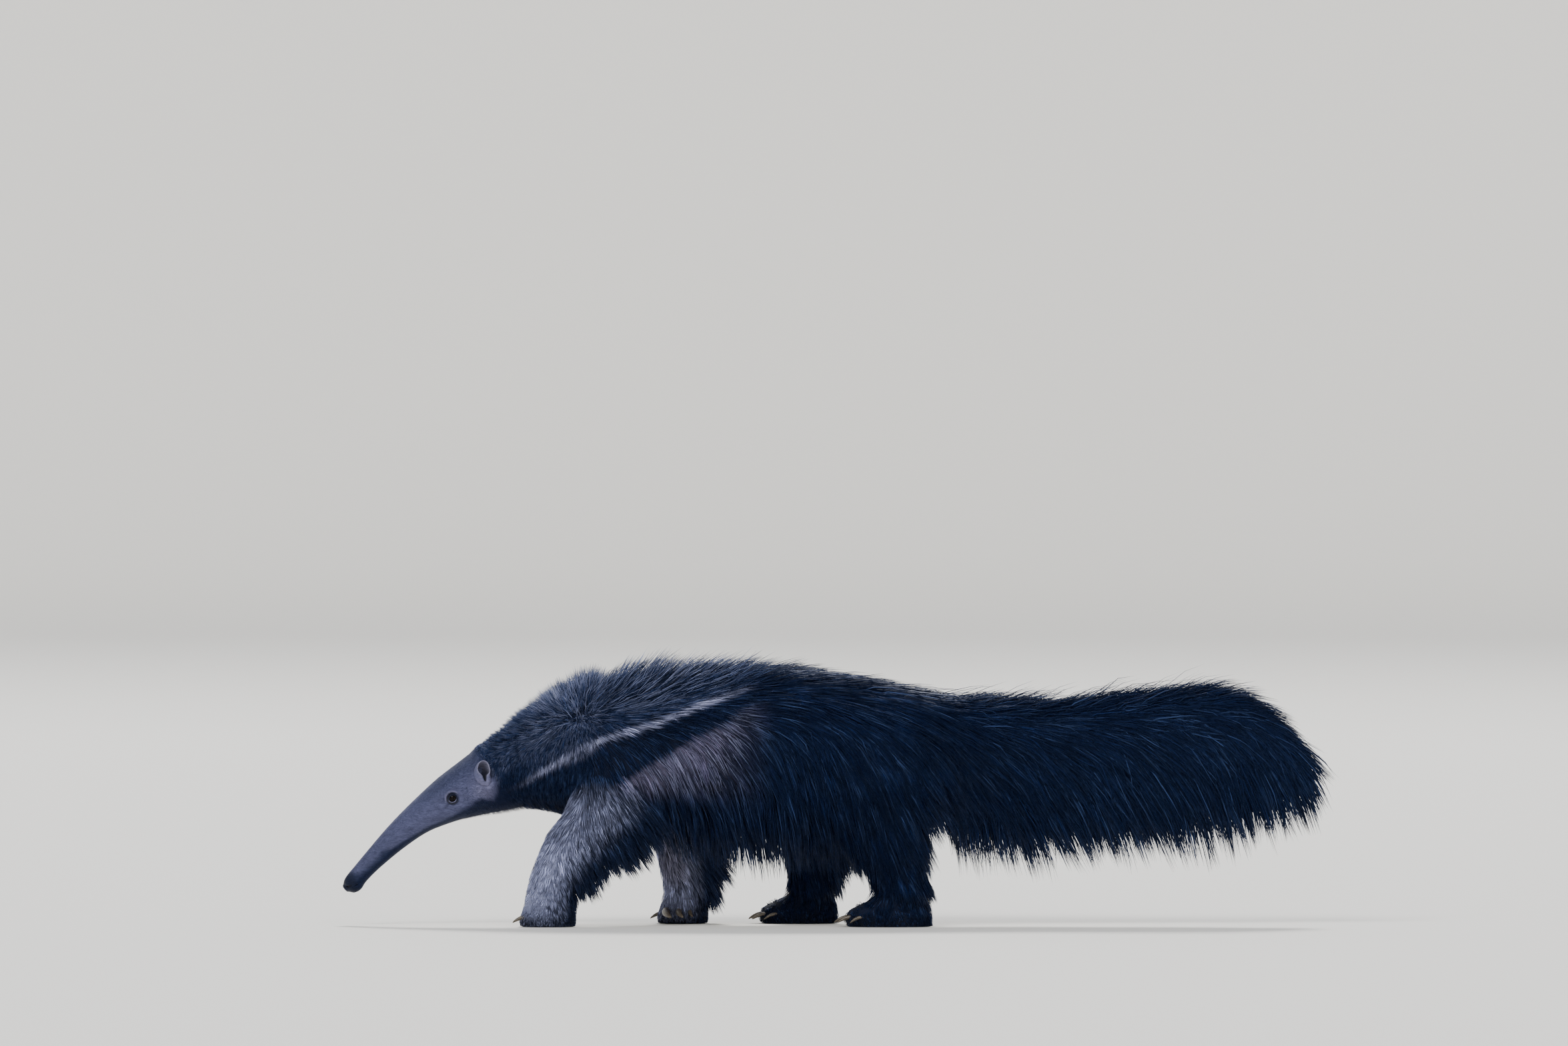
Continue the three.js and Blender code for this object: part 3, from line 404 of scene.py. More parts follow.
def markings(p, rough=0.0):
    """The coat's colour at points of the body, with its edges made ragged by rough millimetres. It also
    paints shade in the hollow round the eye, in the crease before the shoulder and under the snout and jaw,
    and a highlight on the fold over the eye.
    """
    x, z = p[:, 0] + rough * 0.5, p[:, 2] + rough
    along = (p - SNOUT_TIP) @ HEAD_AXIS
    above = (p - SNOUT_TIP) @ HEAD_UP
    stripe = height_of(STRIPE, x)
    band = height_of(BAND_EDGE, x)
    ahead = 1 - smooth(-190, -90, x)
    colour = plain(COAT_BLACK, len(p))
    over = smooth(0, 12, z - stripe) * ahead
    colour = mix(colour, TICKED, over)
    crest = smooth(30, 75, z - stripe) * smooth(-590, -500, x)
    colour = mix(colour, CREST, 0.6 * over * crest)
    below = band - z
    under = smooth(-3, 5, below) * smooth(206, 262, z) * (1 - smooth(-215, -110, x))
    under *= smooth(-500, -440, x) * (1 - 0.45 * smooth(30, 90, below))
    colour = mix(colour, SHOULDER_PALE, under)
    edge = np.abs(z - stripe) / STRIPE_HALF
    ends = smooth(-640, -500, x) * (1 - smooth(-260, -150, x))
    colour = mix(colour, BAND_BLACK_AND_SHADE, (1 - over) * (1 - under) * ahead * smooth(-600, -560, x))
    ends = (0.2 + 0.8 * ends) * smooth(-640, -590, x) * (1 - smooth(-195, -140, x))
    colour = mix(colour, STRIPE_WHITE, (1 - smooth(0.5, 1.4, edge)) * ends)
    # Painted shade in the crease where the neck meets the shoulder.
    crease_shade = np.exp(-(((x - np.interp(z, *zip(*CREASE_SHADE_LINE))) / 9) ** 2)) * smooth(200, 230, z)
    colour = mix(colour, BAND_BLACK_AND_SHADE, 0.8 * crease_shade * (1 - smooth(292, 318, z)))
    head = 1 - smooth(322, 344, along + rough)
    face = mix(plain(GREY_SNOUT, len(p)), GREY_FACE, smooth(60, 230, along))
    face = mix(face, GREY_BROW, 0.75 * smooth(8, 40, above) * smooth(110, 250, along))
    patch = ((along - 302) / 20) ** 2 + ((above + 19) / 22) ** 2
    face = mix(face, CHEEK_PALE_AND_HIGHLIGHT, 0.7 * np.exp(-patch))
    shaded = smooth(-7, 7, height_of(SNOUT_EDGE, along) - above) * (1 - smooth(98, 112, along))
    face = mix(face, SNOUT_SHADE, 0.85 * shaded)
    ahead_of, over_eye = along - EYE["along"], above - EYE["above"]
    away = np.hypot(ahead_of, over_eye)
    # Painted highlight: a pale crescent on the ridge of the fold over the eye.
    fold_highlight = np.exp(-(((away - 13) / 1.5) ** 2)) * smooth(-0.1, 0.5, over_eye / np.maximum(away, 1))
    # Painted shade: the hollow round the eye, darkest over and ahead of it, and the furrow that runs forward
    # from its front corner are painted near-black.
    turned = smooth(-0.5, 0.3, (over_eye - 0.4 * ahead_of) / np.maximum(away, 1))
    hollow = (1 - smooth(10.6, 12.6, away)) * (0.55 + 0.45 * turned)
    corner = np.exp(-(((over_eye + 2.5 - 0.1 * ahead_of) / 2.4) ** 2))
    corner = corner * smooth(-32, -12, ahead_of) * (ahead_of < 0)
    dark = np.maximum(hollow, 0.55 * corner)
    on_side = np.abs(p[:, 1]) > 20
    face = mix(face, NOSE_AND_SHADE_DARK, 0.92 * dark * on_side)
    face = mix(face, CHEEK_PALE_AND_HIGHLIGHT, 0.7 * fold_highlight * on_side)
    colour = colour + (face - colour) * head[:, None]
    # The throat is black. The dark is carried along the underside of the jaw and snout and into the hollow
    # behind the jaw as painted shade.
    soft = 3.5 + 3 * smooth(225, 262, along)
    throat_and_jaw_shade = smooth(-1, 1, (height_of(THROAT_AND_JAW_SHADE_EDGE, along) - above + 0.5 * rough) / soft)
    colour = mix(colour, BAND_BLACK_AND_SHADE, 0.94 * throat_and_jaw_shade * (1 - smooth(350, 420, along)))
    colour = mix(colour, NOSE_AND_SHADE_DARK, 0.8 * (1 - smooth(8, 26, along - 0.2 * above)))
    colour = mix(colour, NOSE_AND_SHADE_DARK, 1 - smooth(0, 9, along + 0.2 * above))
    return colour


def leg_markings(p, name, rough=0.0):
    """The coat's colour at points of a leg, with its edges made ragged in the same way."""
    z = p[:, 2] + rough
    form = LEGS[name]
    u = np.clip(form.locate(p), 0, form.last)
    front = ((form.at(form.middle, u)[:, 0] - p[:, 0]) / form.at(form.rise, u) + 1) / 2
    colour = plain(COAT_BLACK, len(p))
    if name.startswith("fore"):
        frosted = smooth(0.05, 0.6, front) * (0.6 + 0.4 * smooth(15, 60, z))
        frosted *= 1 - 0.45 * smooth(115, 175, z)
        colour = mix(colour, LEG_DARK, np.full(len(p), 0.8))
        colour = mix(colour, FROST, 0.95 * frosted)
        if name.endswith("right"):
            inner = smooth(STANCE, STANCE - 18, p[:, 1]) * smooth(0.25, 0.6, front) * smooth(50, 90, z)
            colour = mix(colour, LEG_PALE, 0.75 * inner)
        colour = colour + (markings(p, rough) - colour) * smooth(212, 262, z)[:, None]
    return mix(colour, NOSE_AND_SHADE_DARK, 0.8 * (1 - smooth(4, 26, z)))


# Meshes
def placed(name, data):
    """An object of the scene that shows the data, at the origin."""
    made = bpy.data.objects.new(name, data)
    bpy.context.scene.collection.objects.link(made)
    return made


def store(mesh, name, kind, key, values):
    """Keeps a value for each vertex under a name, for the materials."""
    layer = mesh.attributes.new(name, kind, "POINT")
    layer.data.foreach_set(key, values.astype(np.float32).ravel())


def make_object(name, vertices, triangles, colours, corners, bare=None, strand=None):
    """A mesh object from arrays in the body's millimetres, with the coat's colour at each vertex."""
    mesh = bpy.data.meshes.new(name)
    mesh.vertices.add(len(vertices))
    mesh.vertices.foreach_set("co", ((vertices + SHIFT) * MM).astype(np.float32).ravel())
    mesh.loops.add(3 * len(triangles))
    mesh.loops.foreach_set("vertex_index", triangles.astype(np.int32).ravel())
    mesh.polygons.add(len(triangles))
    mesh.polygons.foreach_set("loop_start", np.arange(0, 3 * len(triangles), 3, dtype=np.int32))
    mesh.polygons.foreach_set("use_smooth", np.ones(len(triangles), bool))
    store(mesh, "coat", "FLOAT_COLOR", "color", np.column_stack([colours, np.ones(len(colours))]))
    if bare is not None:
        store(mesh, "bare", "FLOAT", "value", bare)
    if strand is not None:
        store(mesh, "strand", "FLOAT_VECTOR", "vector", strand)
    layer = mesh.uv_layers.new(name="OFBake")
    layer.data.foreach_set("uv", corners.astype(np.float32).ravel())
    mesh.update(calc_edges=True)
    mesh.validate()
    return placed(name, mesh)


class Shells:
    """Closed shells gathered into one mesh."""

    def __init__(self):
        self.parts, self.count = [], 0

    def add(self, vertices, triangles, corners, colours, bare):
        """Adds a shell, turned round first if its faces point inwards."""
        a, b, c = (vertices[triangles[:, k]] for k in range(3))
        if np.einsum("ij,ij->i", a, np.cross(b, c)).sum() < 0:
            triangles, corners = triangles[:, ::-1], corners[:, ::-1]
        self.parts.append((vertices, triangles + self.count, corners, colours, bare))
        self.count += len(vertices)

    def object(self, name):
        vertices, triangles, corners, colours, bare = (np.concatenate(v) for v in zip(*self.parts))
        return make_object(name, vertices, triangles, colours, corners, bare=bare)


def grid_shell(points, uv):
    """Vertices, triangles and corner UVs of rings of points (rings, columns, 3), closed round the
    columns and capped at both ends. The UVs have one column more, as the seam has two sides."""
    rings, columns = points.shape[:2]
    r, c = np.meshgrid(np.arange(rings - 1), np.arange(columns), indexing="ij")
    r, c = r.ravel(), c.ravel()
    n = (c + 1) % columns
    a, b = r * columns + c, r * columns + n
    d, e = (r + 1) * columns + c, (r + 1) * columns + n
    triangles = np.concatenate([np.stack([a, b, e], 1), np.stack([a, e, d], 1)])
    corner = np.concatenate([
        np.stack([uv[r, c], uv[r, c + 1], uv[r + 1, c + 1]], 1),
        np.stack([uv[r, c], uv[r + 1, c + 1], uv[r + 1, c]], 1),
    ])
    vertices = [points.reshape(-1, 3)]
    c = np.arange(columns)
    for ring, flip in ((0, True), (rings - 1, False)):
        hub = len(vertices[0]) + len(vertices) - 1
        vertices.append(points[ring].mean(0)[None])
        start = ring * columns
        fan = np.stack([start + c, start + (c + 1) % columns, np.full(columns, hub)], 1)
        place = np.stack([uv[ring, c], uv[ring, c + 1], (uv[ring, c] + uv[ring, c + 1]) / 2], 1)
        triangles = np.concatenate([triangles, fan[:, ::-1] if flip else fan])
        corner = np.concatenate([corner, place[:, ::-1] if flip else place])
    return np.concatenate(vertices), triangles, corner


def spaced(form, spacing):
    """Section places along a form, set apart by a spacing in mm that may change along it."""
    gap = np.interp(form.steps, [p[0] for p in spacing], [p[1] for p in spacing])
    run = running(np.diff(form.length) / gap[1:])
    count = int(run[-1])
    return np.interp(np.linspace(0, run[-1], count), run, form.steps)


# Rings of the skin: at places along the trunk, how far apart they are in mm. They are close at the
# nose and eyes and open on the body.
TRUNK_SPACING = [
    (0, 1.0), (3, 1.4), (4, 2.6), (6.3, 2.2), (6.8, 0.9), (9, 0.9), (9.6, 2.4), (12, 5), (14, 9), (29, 11),
]
TRUNK_COLUMNS = 192
LEG_COLUMNS = 48
SEAM = 1e-6  # what the unwrap's last column keeps short of a full turn
SOLE_CLEAR, HAIR_CLEAR = 0.3, 1.2  # least height of the skin and of the hair over the floor, in mm


def bulge(p, centre, reach, height):
    """A soft mound or, with a negative height, a hollow."""
    away = np.linalg.norm((p - centre) / np.array(reach), axis=-1)
    return height * np.exp(-(away**2))


def groove(p, start, end, width, depth):
    """A furrow between two points."""
    run = end - start
    share = np.clip(((p - start) @ run) / (run @ run), 0, 1)
    away = np.linalg.norm(p - start - share[..., None] * run, axis=-1)
    return -depth * np.exp(-((away / width) ** 2)) * np.sin(math.pi * np.clip(share, 0.04, 0.96)) ** 0.4


def fold(p, centre, radius, width, height, part):
    """A fold, or with a negative height a furrow, over the eye for part 1 and under it for part -1."""
    ahead, over = (p - centre) @ HEAD_AXIS, (p - centre) @ HEAD_UP * part
    away = np.hypot(ahead, over)
    share = smooth(-0.25, 0.55, over / np.maximum(away, 1e-3))
    return height * share * np.exp(-(((away - radius) / width) ** 2)) * (np.abs(p[..., 1] - centre[1]) < 30)


# Relief of the face. The muzzle's furrows are the mouth line and the nostril, by start, end, width and
# depth, and its mounds the nostril's pit, its rim and the lip, by place, reach and height. Places are
# along, above and out on the head. Folds and furrows round the eye follow, by radius, width, height and
# part, and then the furrows ahead of it, by start and end from its middle, width and depth.
MUZZLE_FURROWS = [((-4, -9, 4), (26, -12, 17), 1.3, 2.8), ((-3, -3, 8), (7, -6, 13), 1.5, 3.0)]
MUZZLE_MOUNDS = [
    ((-2, -3, 9), (2.6, 2.6, 2.6), -3), ((2, 3, 11), (6, 5, 5), 1.2), ((12, -18, 12), (11, 8, 6), 1.6),
]
EYE_FOLDS = [(13.0, 1.7, 2.2, 1), (16.4, 1.4, -1.2, 1), (7.6, 1.3, 1.3, -1), (10.6, 1.5, -1.1, -1)]
EYE_FURROWS = [
    ((-7, -3), (-31, -4.5), 1.7, 1.9), ((-10, -13), (-38, -17), 2.2, 2.0), ((2, -19), (-30, -25), 2.2, 1.8),
]


def face_relief(p):
    """How far the skin of the face stands out of the plain form, in mm."""
    rise = np.zeros(p.shape[:-1])
    for side in SIDES.values():
        for start, end, width, depth in MUZZLE_FURROWS:
            rise += groove(p, on_head(*start, side), on_head(*end, side), width, depth)
        for place, reach, height in MUZZLE_MOUNDS:
            rise += bulge(p, on_head(*place, side), reach, height)
        rise += groove(p, on_head(70, 2, 18, side), on_head(190, 4, 30, side), 6, 1.2)
        eye = on_head(EYE["along"], EYE["above"], EYE["out"] + 6, side)
        rise += bulge(p, eye + 12 * HEAD_UP + 2 * HEAD_AXIS, (15, 8, 7), 2.0)
        for sizes in EYE_FOLDS:
            rise += fold(p, eye, *sizes)
        for *ends, width, depth in EYE_FURROWS:
            start, end = (eye + along * HEAD_AXIS + above * HEAD_UP for along, above in ends)
            rise += groove(p, start, end, width, depth)
        rise += bulge(p, eye + 44 * HEAD_AXIS - 24 * HEAD_UP, (26, 12, 22), 2.2)
        rise += bulge(p, eye + 1.5 * HEAD_UP - HEAD_AXIS - np.array([0, 6 * side, 0]), (9.6, 7, 9.2), -6)
        ear = ear_place(side)
        rise += bulge(p, ear - np.array([0, 0, 24]), (15, 14, 9), 1.8)
        rise += bulge(p, ear + np.array([1, 0, -5]), (8.5, 14, 17), -15)
    return rise


def toe_relief(p, name):
    """How far the toes stand out of the plain foot, over the roots of its claws."""
    rise = np.zeros(p.shape[:-1])
    for claw in [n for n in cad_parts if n.startswith(name.replace("leg", "claw"))]:
        low, high = (np.array(v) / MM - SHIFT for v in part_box(claw))
        rise += bulge(p, np.array([high[0], (low[1] + high[1]) / 2, high[2]]), (15, 8, 15), 6)
    return rise


def relief_of(on, p):
    return face_relief(p) if on == "trunk" else toe_relief(p, on)


def skin_grid(on, u, angle):
    """Points of a form's skin at sections and angles, with its relief, and their UVs."""
    form = FORMS[on]
    uu, aa = np.meshgrid(u, angle, indexing="ij")
    points = form.point(uu, aa)
    points += form.normal(uu, aa) * relief_of(on, points)[..., None]
    return points, form.unwrap(*np.meshgrid(u, np.append(angle, angle[0] + TAU - SEAM), indexing="ij"))


def add_trunk(shells):
    t = np.arange(TRUNK_COLUMNS) * TAU / TRUNK_COLUMNS - TAU / 4
    points, uv = skin_grid("trunk", spaced(TRUNK, TRUNK_SPACING), t - 0.22 * np.sin(2 * t))
    nose = nose_rings(points[0], points[1])
    points = np.concatenate([nose, points])
    uv = np.concatenate([np.repeat(uv[:1], len(nose), 0), uv])
    vertices, triangles, corners = grid_shell(points, uv)
    along = (vertices - SNOUT_TIP) @ HEAD_AXIS
    bare = 1 - smooth(0, 8, along)
    # Behind the head the skin lies under the long coat, and it is painted darker there as painted shade of
    # the coat over it.
    shade = 1 - 0.6 * smooth(330, 356, along)
    shells.add(vertices, triangles, corners, markings(vertices) * shade[:, None], bare)


NOSE_DEPTH = 3.2


def nose_rings(first, second):
    """Rings that round the snout off in front of its first section."""
    centre = first.mean(0)
    ahead = unit(centre - second.mean(0))
    turns = np.radians([78, 60, 42, 24, 10])
    return np.stack([
        centre + (first - centre) * math.cos(math.radians(90) - a) + ahead * NOSE_DEPTH * math.cos(a)
        for a in turns[::-1]
    ])


def add_leg(shells, name):
    form = LEGS[name]
    u = spaced(form, [(0, 6), (form.last - 4, 5), (form.last - 2, 2.4), (form.last, 1.5)])
    points, uv = skin_grid(name, u, np.arange(LEG_COLUMNS) * TAU / LEG_COLUMNS - TAU / 4)
    points[..., 2] = np.maximum(points[..., 2], SOLE_CLEAR)
    vertices, triangles, corners = grid_shell(points, uv)
    bare = 1 - smooth(2, 9, vertices[:, 2])
    # The leg's skin lies under the coat, and it is painted at 0.4 of the coat's colour as painted shade of
    # the coat over it.
    shells.add(vertices, triangles, corners, leg_markings(vertices, name) * 0.4, bare)


# Rings of the lids: each a share of the way from the opening to the outer edge, and its height over
# the eyeball in mm. One more ring inside closes them, and the edge's pale share goes ring by ring.
LID_COLUMNS = 56
LID_STEPS = [(0.0, 0.1), (0.0, 0.8), (0.05, 1.3), (0.16, 1.5), (0.4, 1.2), (0.7, 0.8), (1.0, 0.2)]
LID_EDGE = [0.2, 1, 0.8, 0.1, 0, 0, 0, 0]
LID_REACH = math.radians(88)


def add_lids(shells, side):
    """A collar round the eyeball with an almond opening, its outer edge under the skin."""
    centre = on_head(EYE["along"], EYE["above"], EYE["out"], side)
    outward = np.array([0, side, 0])
    phi = np.arange(LID_COLUMNS) * TAU / LID_COLUMNS
    across = np.cos(phi)[:, None] * HEAD_AXIS * 1.05 + np.sin(phi)[:, None] * HEAD_UP
    almond = np.radians(34.5 + 8 * np.clip(-np.cos(phi), 0, 1) ** 7 + 3 * np.clip(np.cos(phi), 0, 1) ** 8)
    rings = []
    for share, height in LID_STEPS:
        polar = almond + (LID_REACH - almond) * share
        toward = np.cos(polar)[:, None] * outward + np.sin(polar)[:, None] * across
        rings.append(centre + (EYE["radius"] + height) * toward)
    inner = centre + (EYE["radius"] - 2) * (unit(rings[-1] - centre))
    points = np.stack(rings + [inner])
    u = 8.0 + 0.1 * np.arange(len(points))[:, None] + np.zeros(LID_COLUMNS + 1)
    uv = TRUNK.unwrap(u, np.full(u.shape, 0.0 if side > 0 else TAU / 2))
    vertices, triangles, corners = grid_shell(points, uv)
    walls = len(triangles) - 2 * LID_COLUMNS
    close = ring_strip(len(points), LID_COLUMNS)
    triangles = np.concatenate([triangles[:walls], close])
    corners = np.concatenate([corners[:walls], np.repeat(corners[:1], len(close), 0)])
    vertices = vertices[:-2]
    # The collar is painted near-black as painted shade of the eye's hollow, and pale at its lower rim.
    below = smooth(0.0, 0.45, (vertices - centre) @ (-0.5 * HEAD_AXIS - 0.8 * HEAD_UP) / EYE["radius"])
    colours = mix(plain(NOSE_AND_SHADE_DARK, len(vertices)), CHEEK_PALE_AND_HIGHLIGHT, 0.9 * below * np.repeat(LID_EDGE, LID_COLUMNS))
    shells.add(vertices, triangles, corners, colours, np.full(len(vertices), 0.6))


def ring_strip(rings, columns):
    """Triangles from the last ring of a grid back to its first, which closes it as a torus."""
    c = np.arange(columns)
    n = (c + 1) % columns
    last = (rings - 1) * columns
    return np.concatenate([np.stack([last + c, last + n, n], 1), np.stack([last + c, n, c], 1)])


# Ear: at angles round its middle, in degrees from the rear by way of the top, the reach of its outline
# and of the rim of its cup, and how far the rim stands out of the head.
EAR_ROWS = [
    (0, 13.2, 9.6, 10), (45, 15.4, 13, 11), (75, 21.6, 19.4, 12.5), (92, 24, 22, 13),
    (112, 21.8, 19.8, 12.5), (131, 18.4, 15.8, 11.5), (165, 15.8, 10.6, 10), (190, 16, 7, 9),
    (220, 17.8, 5.4, 8), (250, 20.5, 6.8, 6), (270, 22.5, 12.5, 3), (279, 24, 20, -1),
    (288, 24.8, 12.5, 3), (305, 23.4, 8, 6), (325, 19.4, 6.4, 8), (345, 14.4, 8, 9.5),
    (360, 13.2, 9.6, 10),
]
EAR_COLUMNS = 72
# Its rings: under the skin, each a share of the outline and how far out; up the wall, so many; and down
# the cup, each a share of the rim, its depth, and how bare and how dark it is there, the dark partly the
# ear's own and partly painted shade of the cup.
EAR_ROOT = [(0.8, -12), (0.92, -6)]
EAR_WALL = 13
EAR_CUP = [
    (0.98, 0.1, 0.65), (0.94, 0.3, 0.85), (0.87, 0.52, 0.95), (0.74, 0.75, 1), (0.5, 0.92, 1), (0.25, 1, 1),
]


def ear_place(side):
    return on_head(EAR["along"], EAR["above"], EAR["out"], side)


def add_ear(shells, side):
    """An upright ear: its wall rises to a rim and goes down again into a cup that narrows to a notch."""
    centre = ear_place(side)
    phi = np.arange(EAR_COLUMNS) * TAU / EAR_COLUMNS
    turns, *values = zip(*EAR_ROWS)
    table = np.array([np.interp(np.degrees(phi), turns, v) for v in values])
    for _ in range(2):
        table = (np.roll(table, 1, 1) + 2 * table + np.roll(table, -1, 1)) / 4
    outline, rim, stand = table
    points = [ear_ring(centre, side, phi, outline * share, out, stand) for share, out in EAR_ROOT]
    for share in np.linspace(0, 1, EAR_WALL):
        height = stand * (math.sin(math.pi / 2 * min(1, share / 0.82)) ** 0.8) + (share - 1) * 3
        height = height - 1.6 * max(0, (share - 0.82) / 0.18) ** 2
        points.append(ear_ring(centre, side, phi, outline + (rim - outline) * share, height, stand))
    for share, depth, _ in EAR_CUP:
        points.append(ear_ring(centre, side, phi, rim * share, stand - 1.6 - depth * (stand + 5), stand))
    points = np.stack(points)
    u = 10.4 + 0.3 * np.sin(phi)[None] + 0 * points[..., 0]
    base = 0.25 if side > 0 else TAU / 2 - 0.25
    a = base + 0.02 * np.arange(len(points))[:, None] + 0 * points[..., 0]
    u, a = (np.concatenate([v, v[:, :1]], 1) for v in (u, a))
    vertices, triangles, corners = grid_shell(points, TRUNK.unwrap(u, a))
    edge = np.concatenate([np.zeros(len(EAR_ROOT)), np.linspace(0, 1, EAR_WALL) ** 3, np.ones(len(EAR_CUP))])
    # The cup is painted darker the deeper it goes and lighter near its top: partly the ear's own dark
    # inside, partly painted shade.
    inside = np.concatenate([np.zeros(len(EAR_ROOT) + EAR_WALL - 1), [0.2], [row[2] for row in EAR_CUP]])
    edge, inside = (np.append(v.repeat(EAR_COLUMNS), [0, 1]) for v in (edge, inside))
    high = vertices[:, 2] - centre[2]
    inside = inside * (1 - 0.25 * smooth(-6, 16, high))
    # Painted highlight: the rim and upper wall are painted pale on the ear's upper part, where the light
    # from above catches them.
    colours = mix(plain(GREY_FACE, len(vertices)), EAR_RIM_HIGHLIGHT, 0.9 * edge * smooth(-14, 4, high))
    colours = mix(colours, CHEEK_PALE_AND_HIGHLIGHT, 0.6 * (1 - smooth(-20, -4, high)))
    colours = mix(colours, EAR_INSIDE_AND_SHADE, inside)
    shells.add(vertices, triangles, corners, colours, 0.25 * inside)


def ear_ring(centre, side, phi, reach, out, stand):
    """A ring of an ear, by its reach at each angle and how far it stands out. The root is ahead of the
    rim and under it."""
    x, z = reach * np.cos(phi), reach * np.sin(phi)
    y = out + 1 - 0.19 * z + 0.06 * x
    deep = np.clip(stand - out, 0, 14)
    return centre + np.stack([x - 0.28 * deep, side * y, z - 0.3 * deep], -1)


# Coat: the lie of the hair along lines of the side view. Each point has x, z, the angle at the root
# and at the tip in degrees from straight back towards straight down, and the length.
HAIR_LINES = [
    # forehead, snout's underside and cheek
    [(-860, 70, -38, -38, 2.6), (-760, 150, -36, -36, 3.2), (-690, 250, -34, -32, 3.6),
     (-662, 302, -40, -40, 4)],
    [(-845, 60, -44, -44, 2.6), (-720, 170, -20, -10, 3.4), (-690, 200, 4, 12, 3.8), (-650, 220, 20, 40, 6)],
    [(-690, 290, -40, -40, 3.8), (-655, 270, 0, 12, 5.5)],
    [(-644, 317, -44, -44, 3)],
    # crest of the mane, back and tail
    [(-642, 320, -165, -165, 3), (-630, 327, -158, -158, 5), (-614, 334, -146, -142, 16),
     (-598, 341, -144, -140, 27), (-588, 346, -144, -140, 32),
     (-566, 356, -142, -138, 43), (-518, 384, -122, -114, 54), (-490, 398, -106, -98, 56),
     (-464, 404, -90, -82, 60), (-422, 418, -70, -60, 74), (-365, 424, -55, -47, 100),
     (-302, 431, -47, -36, 96),
     (-230, 438, -36, -24, 94), (-182, 443, -26, -14, 92), (-130, 449, -14, 0, 94), (-60, 452, -4, 8, 96),
     (60, 438, -2, 10, 100), (150, 420, 0, 14, 106), (200, 402, -10, 0, 104), (230, 392, -20, 0, 104),
     (330, 383, -32, 6, 102), (390, 384, -38, 6, 102), (510, 390, -44, 4, 106), (570, 398, -42, 8, 104),
     (635, 403, -34, 16, 98), (700, 403, -18, 32, 98), (740, 392, 2, 46, 98), (780, 366, 24, 60, 108),
     (808, 338, 40, 68, 138)],
    # parting of the neck, its side and the throat
    [(-500, 378, 176, 172, 38), (-540, 352, 172, 160, 32), (-585, 325, 168, 150, 18)],
    [(-500, 350, 120, 108, 32), (-464, 350, 84, 92, 38), (-440, 350, 40, 56, 40)],
    [(-600, 300, 110, 100, 14), (-560, 300, 98, 96, 19), (-520, 310, 92, 94, 24), (-480, 300, 86, 92, 30)],
    [(-595, 260, 92, 92, 13), (-545, 250, 88, 90, 19), (-520, 250, 90, 96, 20), (-470, 260, 84, 92, 28)],
    [(-606, 225, 30, 40, 9), (-560, 212, 20, 30, 12), (-520, 212, 20, 40, 15), (-490, 205, 30, 60, 18)],
    [(-440, 220, 92, 96, 32)],
    # upper side of the body and tail
    [(-430, 388, -8, 4, 50), (-400, 380, 0, 12, 56), (-350, 385, -4, 8, 66), (-300, 395, -4, 10, 72),
     (-230, 404, 0, 16, 76), (-160, 404, 10, 28, 84), (-80, 400, 16, 44, 90), (60, 400, 20, 50, 100),
     (160, 385, 24, 52, 112), (230, 350, 20, 46, 124), (300, 350, 14, 40, 130), (420, 352, 10, 38, 132),
     (540, 358, 10, 42, 134), (650, 368, 16, 52, 130), (725, 360, 30, 64, 124)],
    # black band and pale shoulder
    [(-430, 320, 48, 60, 36), (-400, 345, 32, 44, 42), (-350, 360, 24, 38, 50), (-300, 370, 20, 34, 58),
     (-240, 385, 16, 30, 68)],
    [(-400, 280, 56, 66, 38), (-350, 310, 50, 60, 44), (-300, 330, 50, 60, 52), (-250, 350, 44, 58, 62),
     (-190, 365, 34, 52, 74)],
    # flank, belly and the tail's side and underside
    [(-340, 250, 60, 72, 46), (-300, 250, 60, 74, 58), (-250, 290, 56, 70, 64), (-200, 320, 50, 66, 76),
     (-80, 320, 58, 76, 100), (60, 320, 50, 68, 104), (150, 320, 44, 62, 112), (240, 320, 44, 64, 150),
     (380, 310, 48, 66, 160), (520, 316, 50, 68, 162), (640, 326, 54, 74, 158), (730, 325, 56, 78, 146),
     (795, 310, 52, 76, 146)],
    [(-380, 215, 60, 78, 44), (-290, 195, 70, 84, 84), (-120, 190, 76, 86, 122), (20, 196, 72, 84, 118)],
    [(-200, 240, 68, 82, 100), (-60, 240, 70, 84, 118), (60, 230, 60, 76, 110), (150, 240, 58, 72, 112)],
    [(205, 250, 78, 86, 156), (250, 245, 66, 74, 170), (380, 240, 60, 70, 164), (520, 246, 62, 72, 164),
     (590, 256, 64, 76, 172), (660, 270, 66, 80, 176), (740, 290, 64, 84, 162)],
]


def strewn(lines, spacing=18):
    """Rows along the lines, no further apart than the spacing."""
    rows = []
    for line in lines:
        line = np.array(line, float)
        rows.append(line)
        for a, b in zip(line, line[1:]):
            steps = int(np.hypot(*(b - a)[:2]) // spacing)
            rows.append(a + (b - a) * (np.arange(1, steps + 1) / (steps + 1))[:, None])
    return np.concatenate(rows)


HAIR = strewn(HAIR_LINES)
SPREAD = 26.0  # how far a row's lie of the hair reaches, in mm
WHORL = (-464, 384)  # the point on each side of the withers from which the hair turns away


def whorl_share(p, radius=15.0):
    return np.exp(-((np.hypot(p[:, 0] - WHORL[0], p[:, 2] - WHORL[1]) / radius) ** 2))


def sway(p):
    """A slow waver of the hair's direction over the body, in radians."""
    x, y, z = p.T
    wave = 0.06 * np.sin(x / 29 + 1.4 * np.sin(z / 33) + 2 * np.sign(y))
    return wave + 0.04 * np.sin(z / 14 + x / 31) + 0.02 * np.sin(x / 7.3 - z / 9.1)


